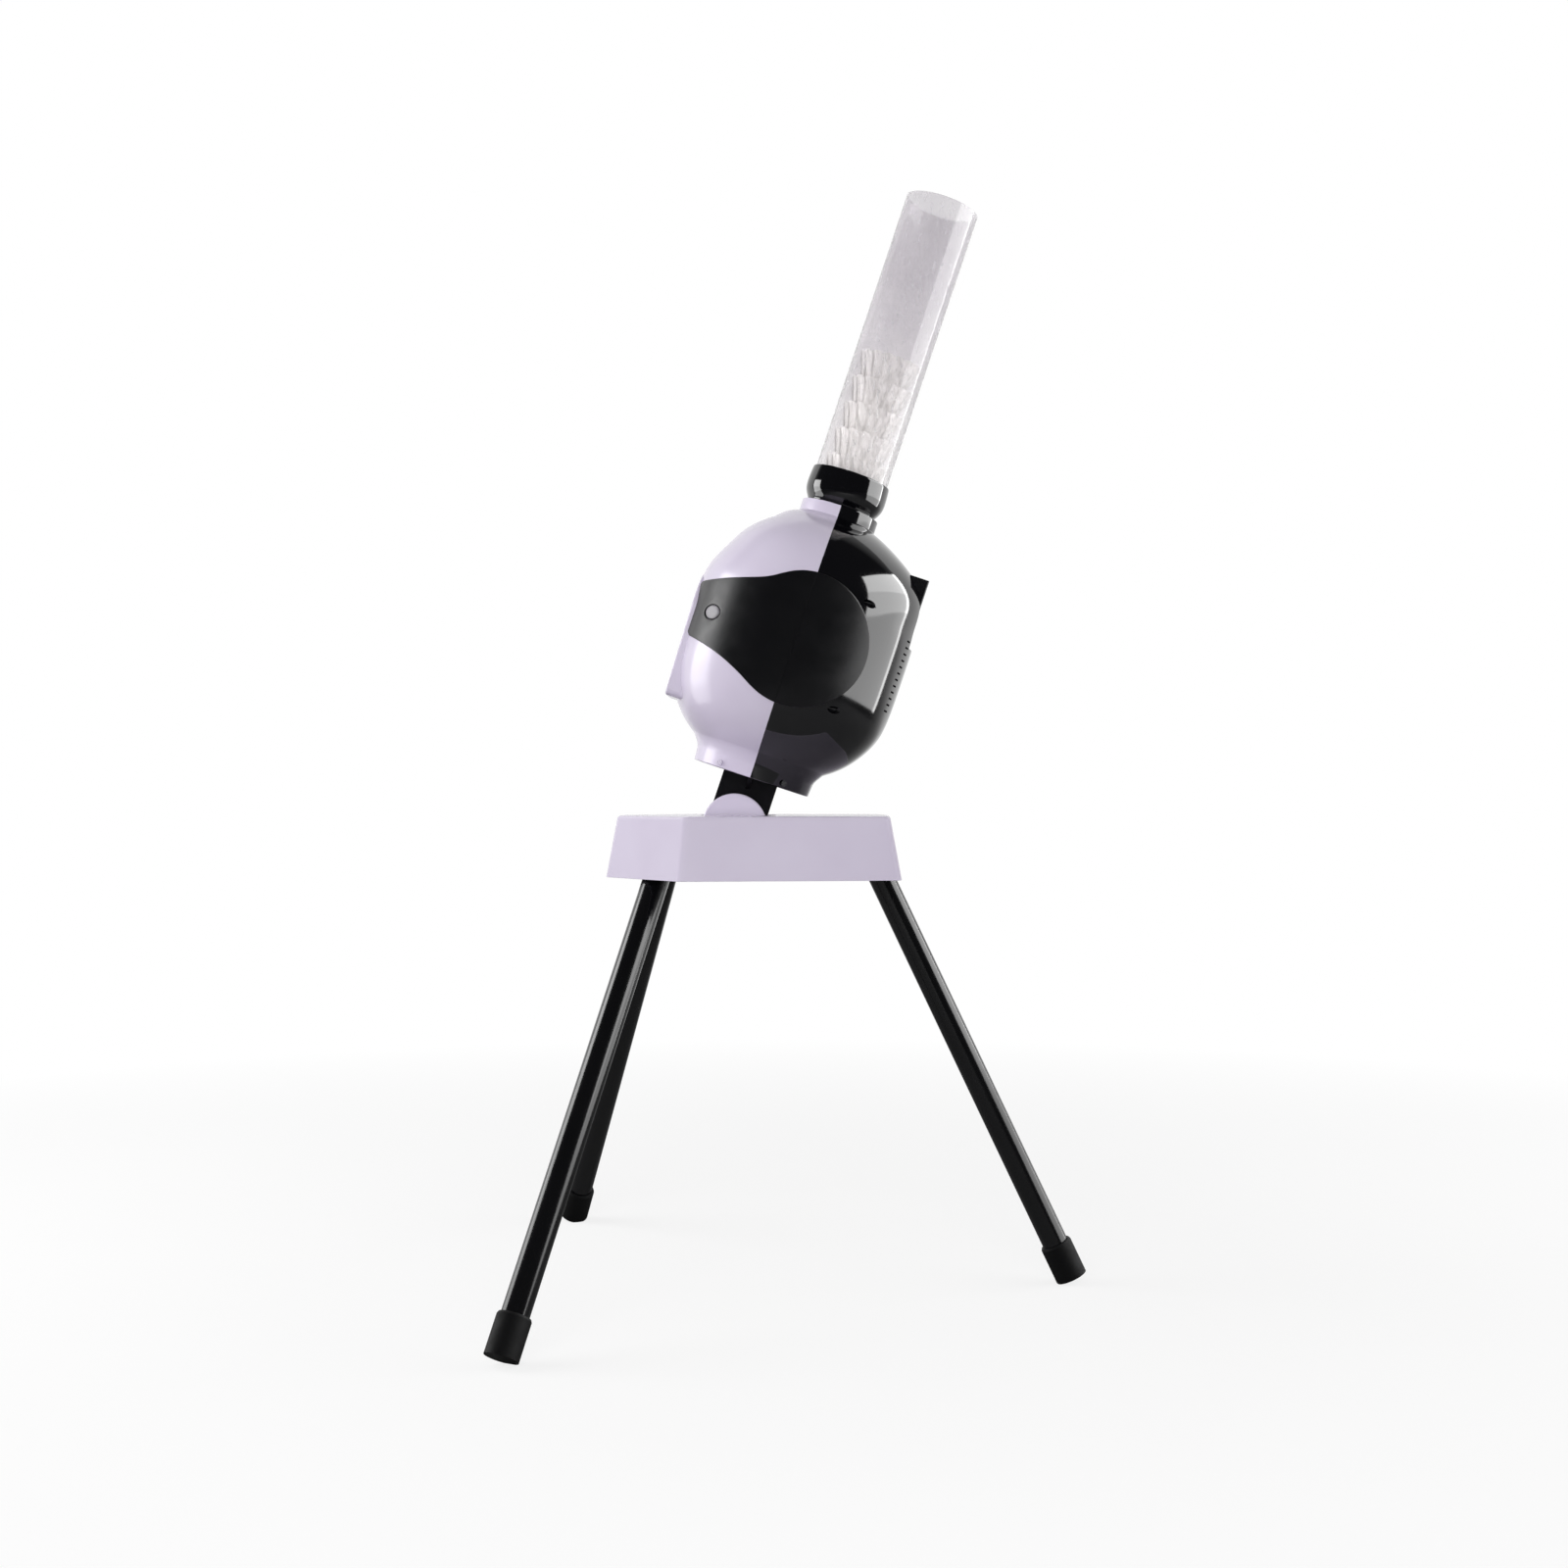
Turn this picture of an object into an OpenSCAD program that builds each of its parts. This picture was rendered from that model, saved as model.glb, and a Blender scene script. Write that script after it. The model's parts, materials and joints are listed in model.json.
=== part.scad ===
/* [Stand] */
// Height of the base's underside above the floor
base_z = 412; // [380:1:440]
// Height of the base's side walls
base_h = 61; // [50:1:70]
// How far each wall leans in from the bottom to the top
base_draft = 9.5; // [5:0.5:11]
// Radius of the base's upright corners
base_round = 9; // [5:1:12]
// Wall of the moulded base
base_wall = 3; // [2:0.5:4]
// Distance from the middle to the base's nose
base_nose_x = 199.3; // [190:0.5:210]
// Half width of the base's nose
base_nose_y = 40; // [30:1:50]
// Distance from the middle to the base's front corners
base_side_x = 122.7; // [110:1:135]
// Half width of the base at its front corners
base_side_y = 145; // [130:1:160]
// Distance from the middle to the base's rear corners
base_rear_x = 89.3; // [85:0.5:95]
// Half width of the base at its rear corners
base_rear_y = 120; // [105:1:130]
// How far the rear wall bows out at its middle
base_bow = 6; // [4:0.5:10]
// Thickness of the plate under the base
plate_t = 4; // [3:0.5:6]

/* [Legs] */
// Outer diameter of a leg tube
leg_d = 26; // [22:0.5:28]
// Wall of a leg tube
leg_wall = 1.5; // [1:0.25:2.5]
// Length of leg held inside the base
leg_hold = 42; // [30:1:44]
// Wall of a leg socket
socket_wall = 2.6; // [2:0.2:2.8]
// Distance forward of the middle to the front feet
front_foot_x = 266.7; // [240:0.5:290]
// Half the distance between the front feet
front_foot_y = 296; // [260:1:320]
// Distance forward of the middle to the tops of the front legs
front_top_x = 147; // [138:0.5:148]
// Half the distance between the tops of the front legs
front_top_y = 76; // [70:1:84]
// Distance behind the middle to the rear foot
rear_foot_x = 267.7; // [250:0.5:290]
// Distance behind the middle to the top of the rear leg
rear_top_x = 74.8; // [70:0.5:75]
// Outer diameter of a rubber foot cap
cap_d = 32; // [29:0.5:36]
// Length of a foot cap
cap_len = 38; // [30:1:45]
// Rubber under the end of the leg
cap_floor = 5; // [3:0.5:8]
// Depth of the flat that bears on the floor
cap_flat = 0.5; // [0.3:0.1:1]

/* [Tilt hinge] */
// Distance forward of the middle to the pivot
pivot_x = 72.2; // [66:0.5:76]
// Height of the pivot below the top of the base
pivot_sink = 10; // [8:0.5:14]
// Lean of the head towards the rear as stored
head_lean = 18.5; // [12:0.5:22]
// Diameter of the pivot bolt
pin_d = 12; // [8:0.5:14]
// Width of the tilt arm seen from the side
arm_w = 56; // [50:1:60]
// Thickness of the tilt arm between the ears
arm_t = 39; // [30:1:44]
// Thickness of a fork ear
ear_t = 10; // [7:0.5:12]
// Radius of the round hinge covers
cover_r = 32; // [30:0.5:34]
// Thickness of a hinge cover
cover_t = 4; // [3:0.5:5]
// Thickness of a friction washer
washer_t = 1.2; // [0.8:0.1:2]
// Height of the collar's foot above the pivot
collar_rise = 50; // [48:1:56]

/* [Head shell] */
// Largest radius of the head
body_rad = 110.7; // [106:0.1:114]
// Height of the head's middle above the collar's foot
body_mid = 141.5; // [138:0.5:144]
// Half height of the curve that the head follows
body_half = 141; // [139:0.5:142]
// Squareness of the head's curve along its height
body_m = 3.9; // [3.6:0.1:4.2]
// Squareness of the head's curve across its width
body_n = 1.33; // [1.25:0.01:1.4]
// Wall of the moulded shells
shell_wall = 2.5; // [2:0.1:3]
// Outer radius of the collar's foot
collar_r = 60.5; // [58:0.5:62]
// Height of the collar
collar_h = 20; // [18:0.5:22]
// Outer radius of the neck ring
neck_r = 39.7; // [39:0.1:41]
// Depth of the neck ring's foot below the top of the head's curve
neck_sink = 10.5; // [9:0.5:12]
// Height of the neck ring
neck_h = 13; // [11:0.5:15]
// Distance of the shell screws from the head's middle, up and down
screw_rise = 54; // [48:1:58]
// Distance of the shell screws to each side
screw_side = 93; // [90:0.5:94]
// Radius of the sunk hole for a screw's head
screw_sink_r = 3.6; // [3:0.1:4]
// Vent slots in each row
vent_n = 12; // [8:1:14]
// Distance between vent slots
vent_pitch = 6.6; // [5:0.1:7]
// Height of a vent slot
vent_h = 2.2; // [1.5:0.1:3]

/* [Side panels] */
// Radius of a side panel's disc
disc_r = 66; // [60:0.5:68]
// Distance of the disc behind the head's axis
disc_u = 5; // [0:0.5:8]
// Thickness of a side panel
panel_t = 2; // [1.5:0.1:3]
// Radius of the side button
button_r = 7; // [5:0.5:8]
// Distance of the button in front of the head's axis
button_u = 86; // [80:0.5:90]
// Travel of the side button
button_travel = 2; // [1:0.1:2.4]

/* [Outlet] */
// Half width of the outlet bezel
hood_r = 41; // [40:0.5:44]
// Height of the bezel's foot
hood_w = 52; // [48:1:56]
// Height of the middle of the bezel's round top
hood_top = 140; // [130:1:142]
// Distance from the axis to the middle of the bezel's face
hood_u = 108.8; // [108:0.1:112]
// Lean of the bezel's face towards its top
hood_tilt = 1.7; // [0:0.1:3]
// Half width of the outlet
outlet_r = 34.5; // [33:0.5:35]
// Height of the outlet's lower edge
outlet_w = 62; // [58:1:66]

/* [Tube and shuttlecocks] */
// Outer diameter of the clear tube
tube_d = 75; // [73:0.5:75.5]
// Wall of the clear tube
tube_wall = 1.5; // [1:0.1:2]
// Height of the tube's lower end above the neck ring
tube_rise = 13; // [11:0.5:15]
// Length of the clear tube
tube_len = 311.2; // [250:0.2:330]
// Outer radius of the cup at its widest
cup_r = 41; // [40.5:0.1:42]
// Outer radius of the cup's stem
stem_r = 35; // [34.8:0.1:36]
// Bore radius of the cup's stem and the drop guide
drop_r = 32.8; // [32.5:0.1:33]
// Depth of the cup round the tube
cup_deep = 25; // [20:0.5:30]
// Number of shuttlecocks in the stack
shuttle_n = 6; // [3:1:10]
// Radius of a shuttlecock's cork
cork_r = 13; // [12.5:0.1:13.4]
// Length of a shuttlecock's cork
cork_h = 27; // [25:0.5:28]
// Length of a shuttlecock's feather skirt
skirt_h = 60; // [55:0.5:62]
// Radius of a shuttlecock's skirt at its open end
skirt_r = 32; // [29:0.5:32.3]
// Thickness of a shuttlecock's skirt
skirt_t = 0.9; // [0.6:0.1:1.2]

/* [Feed and launch] */
// Distance of the feed rotor's axis behind the head's axis
rotor_u = 43; // [42:0.5:46]
// Depth of the feed rotor's axis below the neck ring's foot
rotor_drop = 61; // [58:0.5:64]
// Reach of a feed rotor's finger
finger_r = 36; // [33:0.5:36]
// Fingers on the feed rotor
finger_n = 4; // [3:1:5]
// Thickness of a finger
finger_t = 7; // [5:0.5:8]
// Width of the feed rotor
rotor_t = 12; // [8:0.5:13]
// Distance of the wheels in front of the head's axis
wheel_u = 40; // [38:0.5:42]
// Half the distance between the wheels' axles
wheel_v = 47; // [46:0.5:49]
// Radius of a throwing wheel
wheel_r = 36; // [33:0.5:36.5]
// Height of a throwing wheel
wheel_h = 24; // [16:1:28]
// Height of a wheel's underside
wheel_w = 104; // [98:1:106]
// Radius of a wheel's hub
hub_r = 25; // [18:0.5:28]
// Radius of a wheel motor
motor_r = 14; // [11:0.5:14.5]
// Length of a wheel motor
motor_len = 34; // [28:1:36]
// Height of the launch deck's upper face
deck_w = 80; // [76:1:84]
// Thickness of the launch deck
deck_t = 4; // [3:0.5:5]

/* [Battery and board] */
// Half width of the battery pack
pack_half = 30; // [26:1:32]
// Thickness of the battery pack
pack_t = 20; // [16:0.5:21]
// Height of the battery pack
pack_h = 70; // [60:1:74]
// Height of the pack's top face above the head's middle
pack_rise = 101; // [95:0.5:102]
// Distance from the head's axis to the pack's outer face
pack_u = 107; // [106:0.5:110]
// Length of the control board
board_l = 90; // [70:1:100]
// Width of the control board
board_b = 70; // [66:1:72]

/* [Fits] */
// Gap between pieces that are seated on each other
seat = 0.3; // [0.2:0.05:0.4]
// Radial clearance of a turning or sliding fit
running = 0.05; // [0.02:0.01:0.08]

/* [Hidden] */

lavender = [0.80, 0.77, 0.87];
gloss_black = [0.05, 0.05, 0.07];
matte_black = [0.10, 0.10, 0.11];
steel = [0.72, 0.73, 0.75];
clear = [0.85, 0.87, 0.90, 0.35];

// Cuts run this far past what they cut
reach = 400;
// Cuts through the head's front run between these distances from its axis
front_in = 60;
front_out = 130;
// A screw's shank, the hole that it bites in and the hole that it passes through
shank_r = 1.5;
pilot_r = 1.6;
hole_r = 2;
screw_head_r = 3.6;
fork_screw_x = 20;
fork_screw_y = 26;

base_top = base_z + base_h;
pivot_z = base_top - pivot_sink;
pin_r = pin_d / 2;
leg_r = leg_d / 2;
cap_r = cap_d / 2;
// The base's outline at its foot, from the nose round the near side to the rear wall
base_outline = [[-base_nose_x, -base_nose_y], [-base_side_x, -base_side_y], [base_rear_x, -base_rear_y],
    [base_rear_x + base_bow, 0], [base_rear_x, base_rear_y], [-base_side_x, base_side_y],
    [-base_nose_x, base_nose_y]];

// The lower end of each leg is a disc square to the leg, whose inner edge meets the floor
function foot_z(fx, fy, tx, ty) = cap_r * sin(atan(norm([fx - tx, fy - ty]) / base_z)) - cap_flat;
function foot(fx, fy, tx, ty) = [fx, fy, foot_z(fx, fy, tx, ty)];
near_top = [-front_top_x, -front_top_y, base_z];
far_top = [-front_top_x, front_top_y, base_z];
rear_top = [rear_top_x, 0, base_z];
near_foot = foot(-front_foot_x, -front_foot_y, -front_top_x, -front_top_y);
far_foot = foot(-front_foot_x, front_foot_y, -front_top_x, front_top_y);
rear_foot = foot(rear_foot_x, 0, rear_top_x, 0);
leg_ends = [[near_foot, near_top], [far_foot, far_top], [rear_foot, rear_top]];

ear_in = arm_t / 2 + washer_t + seat;
ear_out = ear_in + ear_t;
fork_r = cover_r - 2;
slot_front = cover_r + 2;
slot_rear = cover_r + 9;

collar_wall = 3;
neck_w = body_mid + body_half - neck_sink;
neck_bore = stem_r + seat;
tube_w = neck_w + neck_h + tube_rise;
cup_top = tube_w + cup_deep;
rotor_w = neck_w - rotor_drop;
pack_top = body_mid + pack_rise;
sleeve_low = neck_w - 10;
low_angle = asin((collar_h + 5 - body_mid) / body_half);
top_angle = asin((neck_w - 2 - body_mid) / body_half);
curve_steps = 22;
flange_t = 6;
flange_w = 2;
flange_r = collar_r - collar_wall - seat;
pack_in = pack_u - pack_t;
// The lowest cork rests on the tip of a finger, just clear of the circle that the tips turn in
finger_rest = acos(rotor_u / (finger_r + cork_r + seat));
cork_low = rotor_w - cork_r + rotor_u * tan(finger_rest);
stack_pitch = cork_h + seat;
tube_r = tube_d / 2;
stem_low = neck_w + 1;
motor_top = deck_w - deck_t;
feed_motor_r = 12;
feed_motor_v = 22;
feed_motor_len = 34;
lug_t = 3;
shaft_r = 2;
board_w = 20;
board_t = 1.6;
post_r = 4;
post_at = [[40, 28], [40, -28], [-15, 28], [-15, -28]];
switch_l = 10;
switch_t = 7.5;
button_in = 50;
collar_screw_angles = [58, -58, 122, -122];

// Radius of the head at a height above the collar's foot
function body_r(w) = body_rad * pow(1 - pow(abs(w - body_mid) / body_half, body_m), 1 / body_n);
// Slope of that curve
function body_s(w) = (body_r(w + 0.01) - body_r(w - 0.01)) / 0.02;
// Points of the curve, set in by a depth measured square to it
function curve(depth, a1 = low_angle, a2 = top_angle) = [for (i = [0:curve_steps])
    let (a = a1 + (a2 - a1) * i / curve_steps, w = body_mid + body_half * sin(a), s = body_s(w))
    let (l = sqrt(1 + s * s)) [body_r(w) - depth / l, w + depth * s / l]];
function backwards(v) = [for (i = [len(v) - 1:-1:0]) v[i]];

module in_head() {
    translate([-pivot_x, 0, pivot_z]) rotate([0, head_lean, 0]) translate([0, 0, collar_rise]) children();
}

// Turns a cylinder drawn along Z so that it runs from one point to another
module along(from, to) {
    d = to - from;
    translate(from) rotate([0, acos(d[2] / norm(d)), atan2(d[1], d[0])]) rotate([0, 0, 90]) children();
}

// Unit normal of an edge, pointing out of an outline drawn this way round
function normal(p, q) = [q[1] - p[1], p[0] - q[0]] / norm(q - p);
// A convex outline with each edge set in by a distance
function inset(c, d) = let (n = len(c)) [for (i = [0:n - 1])
    let (a = normal(c[(i + n - 1) % n], c[i]), b = normal(c[i], c[(i + 1) % n]))
    c[i] - d * (a + b) / (1 + a * b)];
// A convex outline with an arc of radius r round each of its corners
function round_corners(c, r, steps = 5) = let (n = len(c)) [for (i = [0:n - 1])
    let (p = c[(i + n - 1) % n], q = c[i], s = c[(i + 1) % n])
    let (a1 = atan2(q[1] - p[1], q[0] - p[0]) - 90, turn = atan2(s[1] - q[1], s[0] - q[0]) - 90 - a1)
    for (k = [0:steps]) let (a = a1 + (turn < 0 ? turn + 360 : turn) * k / steps) q + r * [cos(a), sin(a)]];

module rod_y(r, y1, y2) {
    translate([0, y1, 0]) rotate([-90, 0, 0]) cylinder(r = r, h = y2 - y1);
}

module rounded(l, b, r) {
    square([l - 2 * r, b], center = true);
    square([l, b - 2 * r], center = true);
    for (x = [-1, 1], y = [-1, 1]) translate([x * (l / 2 - r), y * (b / 2 - r)]) circle(r = r, $fn = 32);
}

// The tapered block of the base, set in by a depth
module base_block(depth, low, high, top_round) hull() {
    for (p = inset(base_outline, depth + base_round)) translate([p[0], p[1], low])
        cylinder(r = base_round, h = 1, $fn = 32);
    for (p = inset(base_outline, depth + base_draft + base_round)) translate([p[0], p[1], high - top_round])
        scale([1, 1, top_round / base_round]) sphere(r = base_round, $fn = 32);
}

base_screw_at = [[-170, 0], [-115, -112], [-115, 112], [62, -96], [62, 96]];

module base_shell() color(lavender) {
    difference() {
        base_block(0, base_z, base_top, 4);
        base_block(base_wall, base_z - 1, base_top - base_wall, 2);
        translate([-pivot_x - slot_front, -ear_out - cover_t - 2, base_top - 10])
            cube([slot_front + slot_rear, 2 * (ear_out + cover_t + 2), 20]);
    }
    for (p = base_screw_at) translate([p[0], p[1], base_z + plate_t + seat]) difference() {
        cylinder(r = 4.5, h = base_h - plate_t - seat - base_wall + 0.5, $fn = 32);
        translate([0, 0, -1]) cylinder(r = pilot_r, h = 16, $fn = 24);
    }
}

// The plate follows the foot of the shell's inside, with a socket moulded on for each leg
module base_plate() color(matte_black) difference() {
    union() {
        translate([0, 0, base_z]) linear_extrude(height = plate_t) polygon(round_corners(
            inset(base_outline, base_wall + base_round),
            base_round - seat - base_draft * plate_t / (base_h - 9)));
        for (e = leg_ends) difference() {
            along(e[0], e[1]) translate([0, 0, norm(e[1] - e[0]) - 30])
                cylinder(r = leg_r + socket_wall, h = 30 + leg_hold, $fn = 64);
            translate([-reach, -reach, 0]) cube([2 * reach, 2 * reach, base_z + 1]);
        }
    }
    for (e = leg_ends) along(e[0], e[1]) translate([0, 0, norm(e[1] - e[0]) - 40])
        cylinder(r = leg_r + 2 * running, h = 40 + leg_hold - socket_wall, $fn = 64);
    for (p = base_screw_at) translate([p[0], p[1], base_z - 1]) {
        cylinder(r = hole_r, h = plate_t + 2, $fn = 32);
        cylinder(r = screw_head_r + 0.4, h = 3, $fn = 32);
    }
    at_fork_screws(base_z - 1) cylinder(r = hole_r, h = plate_t + 2, $fn = 32);
}

module at_fork_screws(z) for (x = [-1, 1], y = [-1, 1])
    translate([-pivot_x + fork_screw_x * x, fork_screw_y * y, z]) children();

module screw(head_r, head_h, shank_l) {
    difference() {
        cylinder(r = head_r, h = head_h, $fn = 32);
        for (a = [0, 90]) rotate([0, 0, a]) translate([-head_r * 0.7, -0.5, -1]) cube([head_r * 1.4, 1, 2]);
    }
    cylinder(r = shank_r, h = head_h + shank_l, $fn = 24);
}

module base_screws() color(steel) {
    for (p = base_screw_at) translate([p[0], p[1], base_z + 0.2]) screw(screw_head_r, 1.8, 14);
    at_fork_screws(base_z - 1.8) screw(screw_head_r, 1.8, 12);
}

module leg(from, to) color(gloss_black) difference() {
    len = norm(to - from) + leg_hold - socket_wall - seat;
    along(from, to) difference() {
        translate([0, 0, cap_floor]) cylinder(r = leg_r, h = len - cap_floor, $fn = 64);
        translate([0, 0, cap_floor - 1]) cylinder(r = leg_r - leg_wall, h = len, $fn = 64);
    }
}

module foot_cap(from, to) color(matte_black) difference() {
    along(from, to) difference() {
        union() {
            cylinder(r = cap_r, h = cap_len - 2, $fn = 64);
            translate([0, 0, cap_len - 2]) cylinder(r1 = cap_r, r2 = cap_r - 1, h = 2, $fn = 64);
        }
        translate([0, 0, cap_floor - seat]) cylinder(r = leg_r + 2 * running, h = cap_len, $fn = 64);
    }
    translate([-reach, -reach, -reach]) cube([2 * reach, 2 * reach, reach]);
}

// Two ears on a foot that is screwed to the plate
module hinge_fork() color(lavender) {
    foot_z = base_z + plate_t;
    difference() {
        for (s = [-1, 1]) translate([-pivot_x, s * (ear_in + ear_t / 2), 0]) {
            translate([0, -ear_t / 2, pivot_z]) rotate([-90, 0, 0]) cylinder(r = fork_r, h = ear_t, $fn = 96);
            translate([-fork_r, -ear_t / 2, foot_z]) cube([2 * fork_r, ear_t, pivot_z - foot_z]);
        }
        translate([-pivot_x, 0, pivot_z]) rod_y(pin_r + running, -reach, reach, $fn = 64);
        at_fork_screws(foot_z - 1) cylinder(r = pilot_r, h = 12, $fn = 24);
    }
    translate([-pivot_x - fork_r, -ear_in, foot_z]) cube([2 * fork_r, 2 * ear_in, 7]);
}

module pivot_bolt() color(steel) translate([-pivot_x, 0, pivot_z]) rod_y(pin_r, -ear_out, ear_out, $fn = 64);

// A plain disc with a rounded rim
module hinge_cover(s) color(lavender) translate([-pivot_x, s * (ear_out + seat), pivot_z])
    rotate([-90 * s, 0, 0]) rotate_extrude($fn = 96) difference() {
        union() {
            square([cover_r - 2, cover_t]);
            square([cover_r, cover_t - 2]);
            translate([cover_r - 2, cover_t - 2]) circle(r = 2, $fn = 32);
        }
        translate([-cover_r, -1]) square([cover_r, cover_t + 2]);
    }

module friction_washers() color(steel) for (s = [-1, 1])
    translate([-pivot_x, s * (arm_t / 2 + seat / 2 + washer_t / 2), pivot_z]) difference() {
        rod_y(20, -washer_t / 2, washer_t / 2, $fn = 64);
        rod_y(pin_r + 0.2, -5, 5, $fn = 64);
    }

// A bar with a round lower end, a flange inside the collar and ribs between the two
module tilt_arm() color(matte_black) in_head() difference() {
    union() {
        translate([0, 0, -collar_rise]) rod_y(arm_w / 2, -arm_t / 2, arm_t / 2, $fn = 96);
        translate([-arm_w / 2, -arm_t / 2, -collar_rise]) cube([arm_w, arm_t, collar_rise + flange_w + 1]);
        translate([0, 0, flange_w]) cylinder(r = flange_r, h = flange_t, $fn = 96);
        for (s = [-1, 1]) translate([0, s * (arm_t / 2 - 1), flange_w - 14]) rotate([90, 0, 90])
            linear_extrude(height = 4, center = true) polygon([[0, 0], [s * 24, 14.5], [0, 14.5]]);
    }
    translate([0, 0, -collar_rise]) rod_y(pin_r + running, -reach, reach, $fn = 64);
    for (a = collar_screw_angles) rotate([0, 0, a]) translate([flange_r - 9, 0, flange_w + flange_t / 2])
        rotate([0, 90, 0]) cylinder(r = pilot_r, h = 20, $fn = 24);
    for (p = post_at) translate([p[0], p[1], flange_w - 1]) cylinder(r = pilot_r, h = flange_t + 2, $fn = 24);
}

// One half of the moulded housing: collar, body and neck in a single curve
module half_shell() rotate([0, 0, 90]) rotate_extrude(angle = 180, $fn = 96) polygon(concat(
    [[collar_r, 0], [collar_r + 1, collar_h - 7], [collar_r + 4, collar_h - 1]],
    curve(0),
    [[neck_r, neck_w], [neck_r, neck_w + neck_h], [neck_bore, neck_w + neck_h], [neck_bore, sleeve_low]],
    backwards(curve(shell_wall, a2 = top_angle - 2)),
    [[collar_r - collar_wall, collar_h], [collar_r - collar_wall, 0]]));

// A solid of the head's curve, grown or shrunk by a depth
module body_solid(depth) rotate_extrude($fn = 96)
    polygon(concat([[0, curve(depth)[0][1]]], curve(depth), [[0, curve(depth)[curve_steps][1]]]));

// A round-topped arch, drawn across the head's front
module arch(r, foot_w) {
    translate([0, hood_top]) circle(r = r, $fn = 96);
    translate([-r, foot_w]) square([2 * r, hood_top - foot_w]);
}
module arch_cut(r, foot_w, u1 = front_in, u2 = front_out) translate([-u1, 0, 0]) rotate([90, 0, -90])
    linear_extrude(height = u2 - u1) arch(r, foot_w);

// Webs that tie the screw posts to the wall
module screw_webs(u1, u2) intersection() {
    for (s = [-1, 1], k = [-1, 1])
        translate([u1, s * (screw_side + 12) - 12, body_mid + k * screw_rise - 1.5]) cube([u2 - u1, 24, 3]);
    body_solid(1);
}

module at_shell_screws() for (s = [-1, 1], k = [-1, 1])
    translate([0, s * screw_side, body_mid + k * screw_rise]) rotate([0, 90, 0]) children();

module front_shell() color(lavender) in_head() difference() {
    union() {
        half_shell();
        intersection() {
            union() {
                at_shell_screws() translate([0, 0, -16]) cylinder(r = 5.5, h = 16, $fn = 32);
                translate([-body_rad, -button_in + button_travel + 2 * seat + switch_t, body_mid - 8])
                    cube([body_rad - button_u + 8, lug_t, 16]);
            }
            body_solid(1);
        }
        screw_webs(-16, 0);
    }
    at_shell_screws() translate([0, 0, -13]) cylinder(r = pilot_r, h = 20, $fn = 24);
    arch_cut(outlet_r, outlet_w);
    translate([-button_u, 0, body_mid]) rod_y(button_r + 1, -front_out, -button_in + 10, $fn = 48);
    collar_screw_holes();
}

module collar_screw_holes() for (a = collar_screw_angles)
    rotate([0, 0, a]) translate([collar_r - 6, 0, flange_w + flange_t / 2])
        rotate([0, 90, 0]) cylinder(r = hole_r, h = 12, $fn = 32);

// Vent slots stand in a row on each side of the battery pack
module vents() for (s = [-1, 1], i = [0:vent_n - 1])
    translate([80, s * 43 - 5, body_mid + (i - (vent_n - 1) / 2) * vent_pitch - vent_h / 2])
        cube([40, 10, vent_h]);

module rear_shell() color(gloss_black) in_head() difference() {
    union() {
        mirror([1, 0, 0]) half_shell();
        intersection() {
            at_shell_screws() cylinder(r = 6.5, h = 80, $fn = 32);
            body_solid(1);
        }
        screw_webs(0, 40);
    }
    at_shell_screws() translate([0, 0, -1]) cylinder(r = hole_r, h = body_rad, $fn = 24);
    at_shell_screws() translate([0, 0, 14]) cylinder(r = screw_sink_r, h = body_rad, $fn = 32);
    vents();
    translate([pack_in - seat, -pack_half - seat, pack_top - pack_h - seat])
        cube([60, 2 * (pack_half + seat), pack_h + 2 * seat]);
    collar_screw_holes();
}

module shell_screws() color(steel) in_head() {
    at_shell_screws() translate([0, 0, 14 + seat]) mirror([0, 0, 1]) translate([0, 0, -2])
        screw(screw_sink_r - 0.4, 2, 22);
    for (a = collar_screw_angles) rotate([0, 0, a])
        translate([collar_r + 2.7, 0, flange_w + flange_t / 2]) rotate([0, -90, 0])
            screw(screw_head_r - 0.8, 1.8, 10);
}

// Disc and band of a side panel, seen from the side: most of a circle, then the band's two edges
disc_start = 122;
disc_end = -117;
disc_steps = 48;
band_low = [[-43.9, -48.5], [-70, -37], [-115, -23.5]];
band_high = [[-115, 27], [-80, 37], [-47.5, 46.5]];
module panel_outline() translate([0, body_mid]) polygon(concat(
    [for (i = [0:disc_steps]) let (a = disc_start + (disc_end - disc_start) * i / disc_steps)
        [disc_u + disc_r * cos(a), disc_r * sin(a)]],
    band_low, band_high));

module side_panel(s) color(matte_black) in_head() difference() {
    intersection() {
        difference() {
            body_solid(-seat - panel_t);
            body_solid(-seat);
        }
        mirror([0, s > 0 ? 1 : 0, 0]) rotate([90, 0, 0]) linear_extrude(height = front_out) panel_outline();
    }
    arch_cut(hood_r + seat, hood_w - seat);
    if (s < 0) translate([-button_u, 0, body_mid]) rod_y(button_r + seat, -front_out, -button_in, $fn = 64);
}

// The button's face follows the panel's curve, and it slides straight in from the side
module side_button() color(matte_black) in_head() intersection() {
    translate([-button_u, 0, body_mid]) rod_y(button_r, -front_out, -button_in, $fn = 64);
    body_solid(-seat - panel_t - 1.5);
}

module button_switch() color(steel) in_head()
    translate([-button_u - switch_l / 2, -button_in + button_travel + seat, body_mid - switch_l / 2])
        cube([switch_l, switch_t, switch_l]);

// A ring that stands on the curved front and frames the outlet
module outlet_bezel() color(lavender) in_head() difference() {
    intersection() {
        arch_cut(hood_r, hood_w);
        translate([0, 0, (hood_w + hood_top + hood_r) / 2]) rotate([0, -hood_tilt, 0])
            translate([-hood_u, -reach, -reach]) cube([hood_u, 2 * reach, 2 * reach]);
    }
    arch_cut(outlet_r, outlet_w, front_in - 10, front_out + 10);
    body_solid(-seat);
}

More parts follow.
